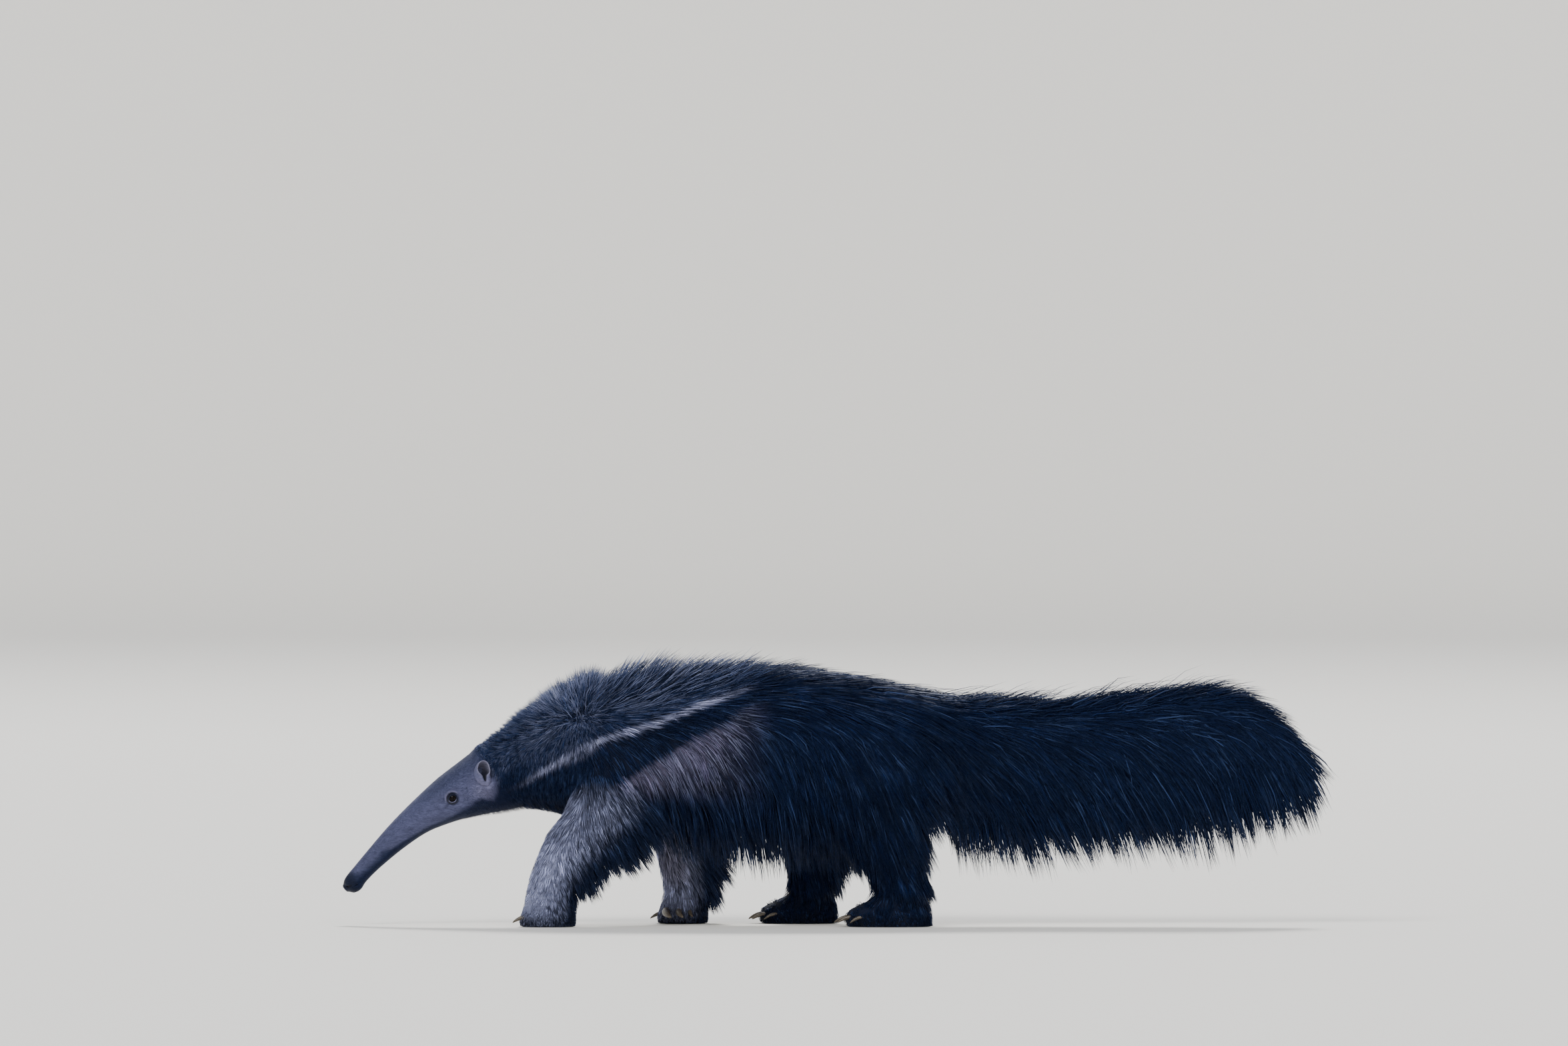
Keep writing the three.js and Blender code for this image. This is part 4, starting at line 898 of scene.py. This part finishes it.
def hair_at(table, x, z):
    """Directions at root and tip, and length, blended from the nearest rows of the table."""
    rows = np.array(table, float)
    away = np.hypot(x[:, None] - rows[:, 0], z[:, None] - rows[:, 1])
    weight = np.exp(-((away / SPREAD) ** 2)) + 1e-4 / (1 + (away / SPREAD) ** 4)
    weight /= weight.sum(1, keepdims=True)
    angles = np.radians(rows[:, 2:4])
    found = []
    for k in (0, 1):
        c, s = weight @ np.cos(angles[:, k]), weight @ np.sin(angles[:, k])
        found.append(np.arctan2(s, c))
    return found[0], found[1], weight @ rows[:, 4]


PART_CELL, PART_MARGIN = 6.0, 60  # spacing of the map of partings, and its reach past the rows, in mm


def partings(table):
    """How strongly the hair draws apart over the side view, which is the share of roots wanted there
    beside the rest, with the map's lowest corner."""
    rows = np.array(table, float)
    low = rows[:, :2].min(0) - PART_MARGIN
    counts = ((rows[:, :2].max(0) + PART_MARGIN - low) / PART_CELL).astype(int) + 1
    x, z = np.meshgrid(*(low[k] + PART_CELL * np.arange(counts[k]) for k in (0, 1)), indexing="ij")
    lie, _, length = hair_at(table, x.ravel(), z.ravel())
    lie, length = lie.reshape(x.shape), length.reshape(x.shape)
    apart = np.gradient(np.cos(lie), PART_CELL, axis=0) - np.gradient(np.sin(lie), PART_CELL, axis=1)
    return low, np.clip(apart * length, 0, 3)


# The same for the legs, as points without lines
LEG_HAIR = {
    "foreleg_left": [
        (-500, 200, 100, 110, 26), (-545, 110, 104, 100, 20), (-555, 50, 100, 92, 14),
        (-420, 200, 60, 74, 40),
        (-440, 130, 56, 70, 44), (-480, 60, 70, 80, 26), (-340, 220, 44, 66, 70), (-380, 150, 40, 66, 72),
        (-430, 90, 46, 70, 56), (-550, 12, 90, 90, 8), (-470, 12, 80, 90, 10),
    ],
    "foreleg_right": [
        (-410, 200, 92, 96, 26), (-330, 110, 92, 92, 20), (-312, 50, 92, 90, 14), (-330, 200, 60, 74, 40),
        (-280, 120, 60, 74, 40), (-270, 60, 70, 80, 26), (-260, 210, 40, 60, 84), (-232, 150, 36, 58, 88),
        (-226, 90, 44, 66, 64), (-310, 12, 90, 90, 8), (-240, 12, 80, 90, 10),
    ],
    "hindleg_left": [
        (0, 270, 64, 74, 96), (10, 190, 70, 80, 84), (60, 110, 76, 84, 52), (80, 60, 80, 84, 24),
        (80, 280, 56, 70, 104), (80, 200, 62, 76, 96), (110, 120, 66, 78, 60), (150, 270, 48, 68, 104),
        (148, 190, 46, 70, 92), (158, 110, 50, 74, 62), (160, 50, 70, 82, 24), (40, 20, 60, 60, 10),
        (120, 12, 80, 90, 10),
    ],
    "hindleg_right": [
        (-60, 270, 64, 74, 96), (-90, 190, 78, 84, 84), (-84, 110, 84, 88, 52), (-80, 60, 80, 84, 24),
        (20, 280, 56, 70, 104), (-10, 200, 62, 76, 96), (-40, 120, 66, 78, 60), (90, 270, 48, 68, 104),
        (50, 190, 50, 72, 92), (10, 110, 56, 76, 62), (0, 50, 70, 82, 24), (-110, 20, 60, 60, 10),
        (-40, 12, 80, 90, 10),
    ],
}


BENDS = 7  # points of a hair's middle line
ROOT_DEPTH = 3.0  # how deep in the skin a long hair starts, in mm
UV_PATCH = 0.003  # length of a tuft's patch on the unwrapped skin


def coat_path(form, u, angle, lie, fall, length, lift, rng, sag):
    """Middle lines of hair (tufts, bends, 3) from places on a form, laid over every form."""
    normal = form.normal(u, angle)
    place = form.point(u, angle)
    points = [place - normal * np.minimum(ROOT_DEPTH, 0.3 * length)[:, None]]
    step = (length / (BENDS - 1))[:, None]
    spread = rng.normal(0, 0.05, len(u))
    for k in range(1, BENDS):
        share = (k - 0.5) / (BENDS - 1)
        turn = lie + (fall - lie) * share
        heading = np.stack([np.cos(turn), spread, -np.sin(turn)], -1)
        inward = (heading * normal).sum(-1, keepdims=True)
        heading = unit(heading - np.minimum(inward, 0) * normal + normal * (0.10 if k == 1 else 0.02))
        place = place + heading * step
        hang = sag * step[:, 0] * (k / BENDS)
        place[:, 1] -= np.sign(place[:, 1]) * np.minimum(hang, np.abs(place[:, 1]))
        clear = lift * length * (k / (BENDS - 1)) + 0.4
        for other in FORMS.values():
            place = other.push(place, clear)
        place[:, 2] = np.maximum(place[:, 2], HAIR_CLEAR)
        points.append(place)
    return np.stack(points, 1), normal


def tufts(name, path, normal, width, colour_at, uv, rng, rings, thickness):
    """One mesh of closed, three-sided tufts along middle lines."""
    if rings < path.shape[1]:
        keep = np.round(np.linspace(0, path.shape[1] - 1, rings)).astype(int)
        path = path[:, keep]
    count = len(path)
    body = rings - 1
    tangent = unit(np.gradient(path, axis=1))
    facing = np.repeat(normal[:, None], rings, 1)
    side = unit(np.cross(tangent, facing))
    out = unit(np.cross(side, tangent))
    share = np.linspace(0, 1, rings)[:body]
    swell = (0.75 + 0.25 * np.minimum(1, 4 * share)) * (1 - share**1.8)
    w = width[:, None] * swell[None]
    half = side[:, :body] * w[..., None] / 2
    ring = path[:, :body, None, :] + np.stack([-half, half, out[:, :body] * w[..., None] * thickness], 2)
    vertices = np.concatenate([ring.reshape(count, body * 3, 3), path[:, -1:]], 1)
    each = body * 3 + 1
    faces = [(0, 2, 1)]
    for k in range(body - 1):
        for s in range(3):
            a, b = 3 * k + s, 3 * k + (s + 1) % 3
            faces += [(a, b, b + 3), (a, b + 3, a + 3)]
    last = 3 * (body - 1)
    faces += [(last + s, last + (s + 1) % 3, each - 1) for s in range(3)]
    faces = np.array(faces)
    triangles = (faces[None] + each * np.arange(count)[:, None, None]).reshape(-1, 3)
    flat = vertices.reshape(-1, 3)
    local = np.zeros((each, 2))
    local[:-1, 0] = np.repeat(share, 3)
    local[:-1, 1] = np.tile([-0.5, 0.5, 0], body)
    local[-1] = (1, 0)
    strand = np.concatenate([
        np.tile(local, (count, 1)), np.repeat(rng.uniform(0, 100, count), each)[:, None]], 1)
    shares = np.tile(local[:, 0], count)
    colours = colour_at(flat, np.repeat(np.arange(count), each), shares)
    local = (local - [0.5, 0]) * UV_PATCH
    corner = uv[:, None, None, :] + local[faces][None]
    return make_object(name, flat, triangles, colours, corner.reshape(-1, 2), strand=strand)


TRIES = 5  # places drawn for each root that is kept


def draw_roots(form, count, limits, rng, weight):
    """Places spread evenly over a form's skin between two sections, thinned by a weight."""
    tries = TRIES * count
    u = rng.uniform(*limits, tries)
    angle = rng.uniform(0, TAU, tries)
    step = 1e-2
    p = form.point(u, angle)
    du = form.point(np.minimum(u + step, form.last), angle) - p
    da = form.point(u, angle + step) - p
    area = np.linalg.norm(np.cross(du, da), axis=-1) * weight(u, angle, p)
    for other in FORMS.values():
        if other is not form:
            area *= np.abs(other.push(p, 0) - p).max(1) < 2
    chosen = rng.choice(tries, count, replace=False, p=area / area.sum())
    return u[chosen], angle[chosen]


# Pieces of the coat: the form it grows on, its first and last section, how many tufts, the rings of
# each, their width in mm and how far they stand off the form as a share of their length.
PIECES = {
    "fur_face": ("trunk", (0.4, 11.4), 19000, 3, 0.62, 0.03),
    "hair_neck_left": ("trunk", (10.7, 14.6), 18000, 3, 1.5, 0.11),
    "hair_neck_right": ("trunk", (10.7, 14.6), 13300, 3, 1.7, 0.11),
    "hair_back_left": ("trunk", (14.2, 22.4), 12200, 4, 2.4, 0.09),
    "hair_back_right": ("trunk", (14.2, 22.4), 10200, 4, 2.55, 0.09),
    "hair_tail_left": ("trunk", (21.6, 29), 10400, 4, 2.7, 0.07),
    "hair_tail_right": ("trunk", (21.6, 29), 8900, 4, 2.95, 0.07),
    "hair_foreleg_left": ("foreleg_left", (0.05, 8), 9500, 3, 1.9, 0.12),
    "hair_foreleg_right": ("foreleg_right", (0.05, 8), 7500, 3, 2.1, 0.12),
    "hair_hindleg_left": ("hindleg_left", (0.05, 9), 8500, 3, 2.3, 0.12),
    "hair_hindleg_right": ("hindleg_right", (0.05, 9), 7500, 3, 2.4, 0.12),
}
CLUMP = 9  # tufts in a clump


def grow(name, settings, seed):
    """One coat piece: tufts in small clumps whose tips draw together."""
    on, span, full, rings, width, lift = PIECES[name]
    rng = np.random.default_rng(seed)
    trunk, face = on == "trunk", name == "fur_face"
    form, table = FORMS[on], HAIR if trunk else LEG_HAIR[on]
    count = int(full * settings.density)
    side = SIDES.get(name.split("_")[-1]) if trunk else None

    low, apart = partings(table)

    def apart_at(p):
        cell = np.clip(((p[:, [0, 2]] - low) / PART_CELL).astype(int), 0, np.array(apart.shape) - 1)
        return apart[cell[:, 0], cell[:, 1]]

    def weight(u, angle, p):
        keep = 1 + 1.3 * apart_at(p)
        if side:
            keep *= side * p[:, 1] > 0
        if trunk:
            keep *= 1 - 0.55 * (np.sin(angle) < -0.8)
            keep *= 1 + 6 * whorl_share(p)
        if face:
            eye = on_head(EYE["along"], EYE["above"], EYE["out"] + 5)
            away = np.linalg.norm(p * [1, 0, 1] + np.abs(p) * [0, 1, 0] - eye, axis=-1)  # either side
            profile = np.abs(np.sin(angle)) ** 6
            keep *= (away > 17) * (0.25 + 0.5 * profile + 0.8 * smooth(6.5, 9, u))
            ear = ear_place(0)
            keep *= np.hypot((p[:, 0] - ear[0]) / 13, (p[:, 2] - ear[2]) / 22) > 1
        if not trunk:
            keep *= 1 + 2.6 * smooth(form.last - 4, form.last - 1, u)
        return keep

    u, angle = draw_roots(form, count, span, rng, weight)
    root = form.point(u, angle)
    lie, fall, length = hair_at(table, root[:, 0], root[:, 2])
    swirl = whorl_share(root) * trunk
    length = length * rng.uniform(0.74, 1.12, count) * settings.length * (1 - 0.5 * swirl)
    loose = 1.6 * swirl + 0.16 * whorl_share(root, 48) + 0.15 * np.minimum(apart_at(root), 1.5)
    turn = rng.normal(0, 1, count) * loose * trunk
    turn += sway(root) * smooth(5, 20, length)
    lie = lie + rng.normal(0, 0.05, count) + turn
    fall = fall + rng.normal(0, 0.07, count) + turn
    lift = lift * rng.uniform(0.4, 1.6, count)
    sag = 0.22 if span[0] > 13 or not trunk else 0.02
    path, normal = coat_path(form, u, angle, lie, fall, length, lift, rng, sag)
    lock = np.arange(count)
    if not face:
        drawn, lock = clumped(path, root, count, rng)
        path += (drawn - path) * (1 - swirl)[:, None, None]
    path += (normal * relief_of(on, root)[:, None])[:, None]
    size = np.clip(length / np.median(length), 0.6, 1.15)
    width = width * settings.width * size * rng.uniform(0.7, 1.3, count)
    own, shared = (0.1, 0) if face else (0.3, 0.12) if "neck" in name else (0.24, 0.28)
    tone = rng.lognormal(0, own, count) * rng.lognormal(0, shared, count)[lock]
    ragged = rng.normal(0, 2.3, count)
    chance = np.where(rng.uniform(size=count) < 0.6, rng.uniform(size=count), rng.uniform(size=count)[lock])
    strength = rng.uniform(0.3, 0.9, count)

    def colour_at(points, tuft, share):
        start = root[tuft]
        place = start + (points - start) * 0.85
        base = markings(place, ragged[tuft]) if trunk else leg_markings(place, on, ragged[tuft])
        if face:
            return base * (tone[tuft] * (1.05 + 0.35 * share))[:, None]
        light = smooth(0.012, 0.05, base.mean(1))
        luck = chance[tuft]
        # Each tuft is painted darker towards its root, as painted shade of the coat over the roots, and
        # paler to the tip.
        colour = base * (tone[tuft] * (0.42 + 0.78 * share))[:, None]
        white = smooth(0.16, 0.34, base.mean(1))
        colour *= np.where(luck > 1 - 0.35 * light * (1 - 0.75 * white), 0.3, 1)[:, None]
        ahead = 0.14 * (place[:, 0] < -150)
        pale = (luck < 0.12 + ahead + 0.14 * light) * strength[tuft] * (0.3 + 0.7 * share) * (1 - white)
        aim = linear(STRAND_PALE) + (linear(GRIZZLE) - linear(STRAND_PALE)) * light[:, None]
        return colour + pale[:, None] * (aim - colour)

    flat = 0.13 if face else 0.42
    return tufts(name, path, normal, width, colour_at, form.unwrap(u, angle), rng, rings, flat)


def clumped(path, root, count, rng):
    """Draws the tips of neighbouring tufts together, and tells the leader of each one's lock."""
    leaders = rng.choice(count, count // CLUMP, replace=False)
    tree = KDTree(len(leaders))
    for i, leader in enumerate(leaders):
        tree.insert(root[leader], i)
    tree.balance()
    nearest = np.array([leaders[tree.find(p)[1]] for p in root])
    share = np.linspace(0, 1, path.shape[1])[None, :, None] ** 1.4
    pull = rng.uniform(0.35, 0.75, count)[:, None, None]
    return path + (path[nearest] - path) * share * pull, nearest


# Materials
def node(tree, kind, inputs=None, **settings):
    """Adds a node with its settings, its values and its links."""
    made = tree.nodes.new(kind)
    for key, value in settings.items():
        setattr(made, key, value)
    for socket, value in (inputs or {}).items():
        if isinstance(value, bpy.types.NodeSocket):
            tree.links.new(value, made.inputs[socket])
        else:
            made.inputs[socket].default_value = value
    return made


def set_stops(ramp, *stops):
    """The two stops of a colour ramp, each a position and a colour."""
    for element, (position, colour) in zip(ramp.color_ramp.elements, stops):
        element.position = position
        element.color = (*linear(colour), 1)


def new_material(name):
    """A material with an empty tree, its tree and its output node."""
    material = bpy.data.materials.new(name)
    material.use_nodes = True
    tree = material.node_tree
    tree.nodes.clear()
    return material, tree, node(tree, "ShaderNodeOutputMaterial")


def guard_hair():
    """Guard hair: long, coarse and dry, with a soft cool sheen along each strand. Its grain follows
    the strands and is drawn coarser than a real hair, so that it shows."""
    material, tree, output = new_material("guard_hair")
    colour = node(tree, "ShaderNodeAttribute", attribute_name="coat")
    strand = node(tree, "ShaderNodeAttribute", attribute_name="strand")
    hairs = node(tree, "ShaderNodeMapping", {"Vector": strand.outputs["Vector"], "Scale": (1.4, 5.5, 3.7)})
    grain = node(tree, "ShaderNodeTexNoise", {"Vector": hairs.outputs[0], "Scale": 1.0, "Detail": 1})
    tone = node(tree, "ShaderNodeMapRange", {
        "Value": grain.outputs[0], "From Min": 0.33, "From Max": 0.67, "To Min": 0.4, "To Max": 1.6})
    shade = node(tree, "ShaderNodeVectorMath", {0: colour.outputs["Color"], "Scale": tone.outputs[0]},
                 operation="SCALE")
    bump = node(tree, "ShaderNodeBump", {"Height": grain.outputs[0], "Strength": 0.6, "Distance": 0.5 * MM})
    shader = node(tree, "ShaderNodeBsdfPrincipled", {
        "Base Color": shade.outputs[0], "Roughness": 0.48, "IOR": 1.45, "Normal": bump.outputs[0],
        "Specular IOR Level": 0.32, "Specular Tint": (*linear("#8aa6ec"), 1), "Sheen Weight": 0.09,
        "Sheen Roughness": 0.4, "Sheen Tint": (*linear("#7f9fe8"), 1),
    })
    tree.links.new(shader.outputs[0], output.inputs["Surface"])
    return material


def velvet_skin():
    """Skin under short velvety fur, 1 mm hairs lying back, and bare damp leather at the nose."""
    material, tree, output = new_material("velvet_skin")
    colour = node(tree, "ShaderNodeAttribute", attribute_name="coat")
    bare = node(tree, "ShaderNodeAttribute", attribute_name="bare")
    place = node(tree, "ShaderNodeTexCoord")
    lie = node(tree, "ShaderNodeMapping", {
        "Vector": place.outputs["Object"], "Rotation": (0, HEAD_PITCH, 0), "Scale": (0.18, 1, 1)})
    fur = node(tree, "ShaderNodeTexNoise", {"Vector": lie.outputs[0], "Scale": 1 / (1.6 * MM), "Detail": 3})
    mottle = node(tree, "ShaderNodeTexNoise", {"Vector": lie.outputs[0], "Scale": 1 / (8 * MM), "Detail": 5})
    light = node(tree, "ShaderNodeMapRange", {
        "Value": fur.outputs[0], "From Min": 0.3, "From Max": 0.7, "To Min": 0.72, "To Max": 1.3})
    cloud = node(tree, "ShaderNodeMapRange", {
        "Value": mottle.outputs[0], "From Min": 0.3, "From Max": 0.7, "To Min": 0.82, "To Max": 1.18})
    both = node(tree, "ShaderNodeMath", {0: light.outputs[0], 1: cloud.outputs[0]}, operation="MULTIPLY")
    shade = node(tree, "ShaderNodeVectorMath", {0: colour.outputs["Color"], "Scale": both.outputs[0]},
                 operation="SCALE")
    rough = node(tree, "ShaderNodeMapRange", {"Value": bare.outputs["Fac"], "To Min": 0.78, "To Max": 0.34})
    pebble = node(tree, "ShaderNodeTexVoronoi", {"Vector": place.outputs["Object"], "Scale": 1 / (1.4 * MM)})
    relief = node(tree, "ShaderNodeMix", {0: bare.outputs["Fac"], 2: fur.outputs[0], 3: pebble.outputs[0]})
    bump = node(tree, "ShaderNodeBump", {"Height": relief.outputs[0], "Strength": 0.5, "Distance": 0.6 * MM})
    shader = node(tree, "ShaderNodeBsdfPrincipled", {
        "Base Color": shade.outputs[0], "Roughness": rough.outputs[0], "Normal": bump.outputs[0],
        "Specular IOR Level": 0.28, "Specular Tint": (*linear("#b4c4f4"), 1), "Sheen Weight": 0.08,
        "Sheen Roughness": 0.45,
    })
    tree.links.new(shader.outputs[0], output.inputs["Surface"])
    return material


def wet_eye():
    """A dark brown eye under a clear wet cornea, which gives it one sharp highlight."""
    material, tree, output = new_material("wet_eye")
    place = node(tree, "ShaderNodeTexCoord")
    iris = node(tree, "ShaderNodeTexNoise", {
        "Vector": place.outputs["Object"], "Scale": 1 / (2 * MM), "Detail": 3})
    ramp = node(tree, "ShaderNodeValToRGB", {"Fac": iris.outputs[0]})
    set_stops(ramp, (0, "#030203"), (1, "#100a09"))
    shader = node(tree, "ShaderNodeBsdfPrincipled", {
        "Base Color": ramp.outputs[0], "Roughness": 0.06, "IOR": 1.376, "Specular IOR Level": 0.14})
    tree.links.new(shader.outputs[0], output.inputs["Surface"])
    return material


def claw_horn():
    """Horn: keratin grown in long fibres, in dark and paler streaks along them."""
    material, tree, output = new_material("claw_horn")
    place = node(tree, "ShaderNodeTexCoord")
    fibre = node(tree, "ShaderNodeMapping", {"Vector": place.outputs["Object"], "Scale": (0.2, 1, 1)})
    streak = node(tree, "ShaderNodeTexNoise", {
        "Vector": fibre.outputs[0], "Scale": 1 / (1.5 * MM), "Detail": 4})
    ramp = node(tree, "ShaderNodeValToRGB", {"Fac": streak.outputs[0]})
    set_stops(ramp, (0.3, "#1d1915"), (0.75, "#6b5f4e"))
    bump = node(tree, "ShaderNodeBump", {
        "Height": streak.outputs[0], "Strength": 0.35, "Distance": 0.4 * MM})
    shader = node(tree, "ShaderNodeBsdfPrincipled", {
        "Base Color": ramp.outputs[0], "Roughness": 0.36, "IOR": 1.54, "Normal": bump.outputs[0]})
    tree.links.new(shader.outputs[0], output.inputs["Surface"])
    return material


def studio_paper(colour):
    """Matt pale paper, as plain as a backdrop is."""
    material, tree, output = new_material("studio_paper")
    shader = node(tree, "ShaderNodeBsdfPrincipled", {"Base Color": (*colour, 1), "Roughness": 0.9})
    tree.links.new(shader.outputs[0], output.inputs["Surface"])
    return material


def refined_copy(name, cad, levels):
    """A CAD node's shape, its corners merged and its facets smoothed."""
    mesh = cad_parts[cad].data.copy()
    mesh.name = name
    mesh.materials.clear()
    made = placed(name, mesh)
    weld = made.modifiers.new("Weld", "WELD")
    weld.merge_threshold = 0.01 * MM
    rounded = made.modifiers.new("Round", "SUBSURF")
    rounded.levels = rounded.render_levels = levels
    shape = bpy.data.meshes.new_from_object(made.evaluated_get(bpy.context.evaluated_depsgraph_get()))
    made.modifiers.clear()
    made.data = shape
    shape.shade_smooth()
    return made


def finish_piece(piece, material):
    piece.data.materials.clear()
    piece.data.materials.append(material)
    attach(piece, "root")


# Settings
class CoatSettings(bpy.types.PropertyGroup):
    density: bpy.props.FloatProperty(
        name="Density", description="Share of the full number of tufts", default=1.0, min=0.05, max=1.0)
    length: bpy.props.FloatProperty(
        name="Length", description="Length of the hair against the animal's own",
        default=1.0, min=0.5, max=1.1)
    width: bpy.props.FloatProperty(
        name="Tuft width", description="Width of the tufts against their own", default=1.0, min=0.5, max=2.0)
    seed: bpy.props.IntProperty(name="Seed", description="Seed of the tufts' random places", default=5)


class StageSettings(bpy.types.PropertyGroup):
    distance: bpy.props.FloatProperty(
        name="Camera distance", description="From the camera to the plane of the left eye",
        default=30.0, unit="LENGTH")
    height: bpy.props.FloatProperty(
        name="Camera height", description="Height of the camera over the floor",
        default=1.126, unit="LENGTH")
    floor: bpy.props.FloatVectorProperty(
        name="Floor colour", description="Colour of the floor",
        subtype="COLOR", default=tuple(linear("#dcd9d2")))


# Operators
class ANTEATER_OT_skin(bpy.types.Operator):
    """Builds the skin of the body with its face, ears and feet"""

    bl_idname = "anteater.skin"
    bl_label = "Skin"

    def execute(self, context):
        shells = Shells()
        add_trunk(shells)
        for name in LEGS:
            add_leg(shells, name)
        for side in SIDES.values():
            add_lids(shells, side)
            add_ear(shells, side)
        skin = shells.object("skin")
        finish_piece(skin, velvet_skin())
        paired = ("ear_", "foreleg", "forefoot", "hindleg", "hindfoot")
        flesh = ["head", "neck", "torso", "tail", *(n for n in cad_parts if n.startswith(paired))]
        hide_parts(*flesh)
        return {"FINISHED"}


class ANTEATER_OT_eyes(bpy.types.Operator):
    """Builds both eyes"""

    bl_idname = "anteater.eyes"
    bl_label = "Eyes"

    def execute(self, context):
        material = wet_eye()
        for name in SIDES:
            eye = refined_copy("eyeball_" + name, "eye_" + name, 2)
            finish_piece(eye, material)
            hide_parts("eye_" + name)
        return {"FINISHED"}


class ANTEATER_OT_claws(bpy.types.Operator):
    """Builds the claws of all four feet"""

    bl_idname = "anteater.claws"
    bl_label = "Claws"

    def execute(self, context):
        material = claw_horn()
        for cad in [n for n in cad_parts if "claw" in n]:
            claw = refined_copy("horn_" + cad, cad, 2)
            finish_piece(claw, material)
            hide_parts(cad)
        return {"FINISHED"}


class ANTEATER_OT_coat(bpy.types.Operator):
    """Builds the coat, piece by piece"""

    bl_idname = "anteater.coat"
    bl_label = "Coat"

    def execute(self, context):
        settings = context.scene.anteater_coat
        material = guard_hair()
        for i, name in enumerate(PIECES):
            piece = grow(name, settings, settings.seed + i)
            finish_piece(piece, material)
        return {"FINISHED"}


class ANTEATER_OT_stage(bpy.types.Operator):
    """Sets the floor, the lights and the camera"""

    bl_idname = "anteater.stage"
    bl_label = "Stage"

    def execute(self, context):
        settings = context.scene.anteater_stage
        add_floor(settings.floor)
        for source in LIGHTS:
            add_light(*source)
        add_world()
        add_camera(settings)
        return {"FINISHED"}


FLOOR_EDGE, SWEEP, WALL_TOP = 36, 9, 30  # flat floor's radius, the curve's and the wall's height, in m
FLOOR_SIDES = 96


def add_floor(colour):
    """Paper on a round floor that curves up into a wall all round, far off."""
    bend = np.linspace(0, math.pi / 2, 13)
    out = np.concatenate([[2, 8, 20], FLOOR_EDGE + SWEEP * np.sin(bend), [FLOOR_EDGE + SWEEP]])
    rise = np.concatenate([[0, 0, 0], SWEEP * (1 - np.cos(bend)), [WALL_TOP]])
    turn = np.arange(FLOOR_SIDES) * TAU / FLOOR_SIDES
    vertices = [(0, 0, 0)] + [(r * math.cos(t), r * math.sin(t), z) for r, z in zip(out, rise) for t in turn]
    faces = []
    for k in range(FLOOR_SIDES):
        n = (k + 1) % FLOOR_SIDES
        faces.append((0, 1 + k, 1 + n))
        for ring in range(len(out) - 1):
            low, high = 1 + ring * FLOOR_SIDES, 1 + (ring + 1) * FLOOR_SIDES
            faces.append((low + k, high + k, high + n, low + n))
    mesh = bpy.data.meshes.new("floor")
    mesh.from_pydata(vertices, [], faces)
    mesh.shade_smooth()
    mesh.materials.append(studio_paper(colour))
    floor = placed("floor", mesh)


# Lights: where each comes from, how wide it looks in degrees, and its strength
LIGHTS = (
    ((-3.2, -5.5, 5.2), 34, 2.9),
    ((4.5, -3.5, 3.8), 50, 0.9),
    ((0.6, 4.5, 5.4), 16, 3.6),
)


def add_light(place, width, strength):
    """A far, wide, even light, as through a large screen."""
    light = bpy.data.lights.new("screen", "SUN")
    light.angle = math.radians(width)
    light.energy = strength
    lamp = placed("screen", light)
    lamp.location = place
    lamp.rotation_euler = (-Vector(place)).to_track_quat("-Z", "Y").to_euler()


def add_world():
    world = bpy.data.worlds.new("studio")
    world.use_nodes = True
    sky = world.node_tree.nodes["Background"].inputs
    sky["Color"].default_value = (*linear("#cfdcf6"), 1)
    sky["Strength"].default_value = 0.6
    bpy.context.scene.world = world


MM_PER_PIXEL = 1.2
PHOTO_WIDTH, PHOTO_HEIGHT = 2351, 1568
PHOTO_ZERO = (1252, 1388)  # the pixel that stands at x = 0, z = 0


def add_camera(settings):
    """The camera stands far off at the animal's shoulder side, as a long lens does."""
    centre = np.array([
        (PHOTO_WIDTH / 2 - PHOTO_ZERO[0]) * MM_PER_PIXEL, EYE_LEFT[1],
        (PHOTO_ZERO[1] - PHOTO_HEIGHT / 2) * MM_PER_PIXEL,
    ])
    aim = Vector((centre + SHIFT) * MM)
    place = Vector((aim.x, aim.y - settings.distance, settings.height))
    lens = bpy.data.cameras.new("camera")
    lens.sensor_width = 36
    lens.lens = lens.sensor_width * (place - aim).length / (PHOTO_WIDTH * MM_PER_PIXEL * MM)
    lens.clip_end = 200
    camera = placed("camera", lens)
    camera.location = place
    camera.rotation_euler = (aim - place).to_track_quat("-Z", "Y").to_euler()
    bpy.context.scene.camera = camera


class ANTEATER_PT_panel(bpy.types.Panel):
    bl_label = "Giant anteater"
    bl_idname = "ANTEATER_PT_panel"
    bl_space_type = "VIEW_3D"
    bl_region_type = "UI"
    bl_category = "Anteater"

    def draw(self, context):
        column = self.layout.column()
        for settings in (context.scene.anteater_coat, context.scene.anteater_stage):
            for key in settings.bl_rna.properties.keys():
                if key not in ("rna_type", "name"):
                    column.prop(settings, key)
        for operator in OPERATORS:
            column.operator(operator.bl_idname)


OPERATORS = (ANTEATER_OT_skin, ANTEATER_OT_eyes, ANTEATER_OT_claws, ANTEATER_OT_coat, ANTEATER_OT_stage)
CLASSES = (CoatSettings, StageSettings, *OPERATORS, ANTEATER_PT_panel)


def register():
    for kind in CLASSES:
        bpy.utils.register_class(kind)
    bpy.types.Scene.anteater_coat = bpy.props.PointerProperty(type=CoatSettings)
    bpy.types.Scene.anteater_stage = bpy.props.PointerProperty(type=StageSettings)


def unregister():
    del bpy.types.Scene.anteater_stage
    del bpy.types.Scene.anteater_coat
    for kind in reversed(CLASSES):
        bpy.utils.unregister_class(kind)


def main():
    register()
    bpy.ops.anteater.stage()
    bpy.ops.anteater.skin()
    bpy.ops.anteater.eyes()
    bpy.ops.anteater.claws()
    bpy.ops.anteater.coat()


if __name__ == "__main__":
    main()
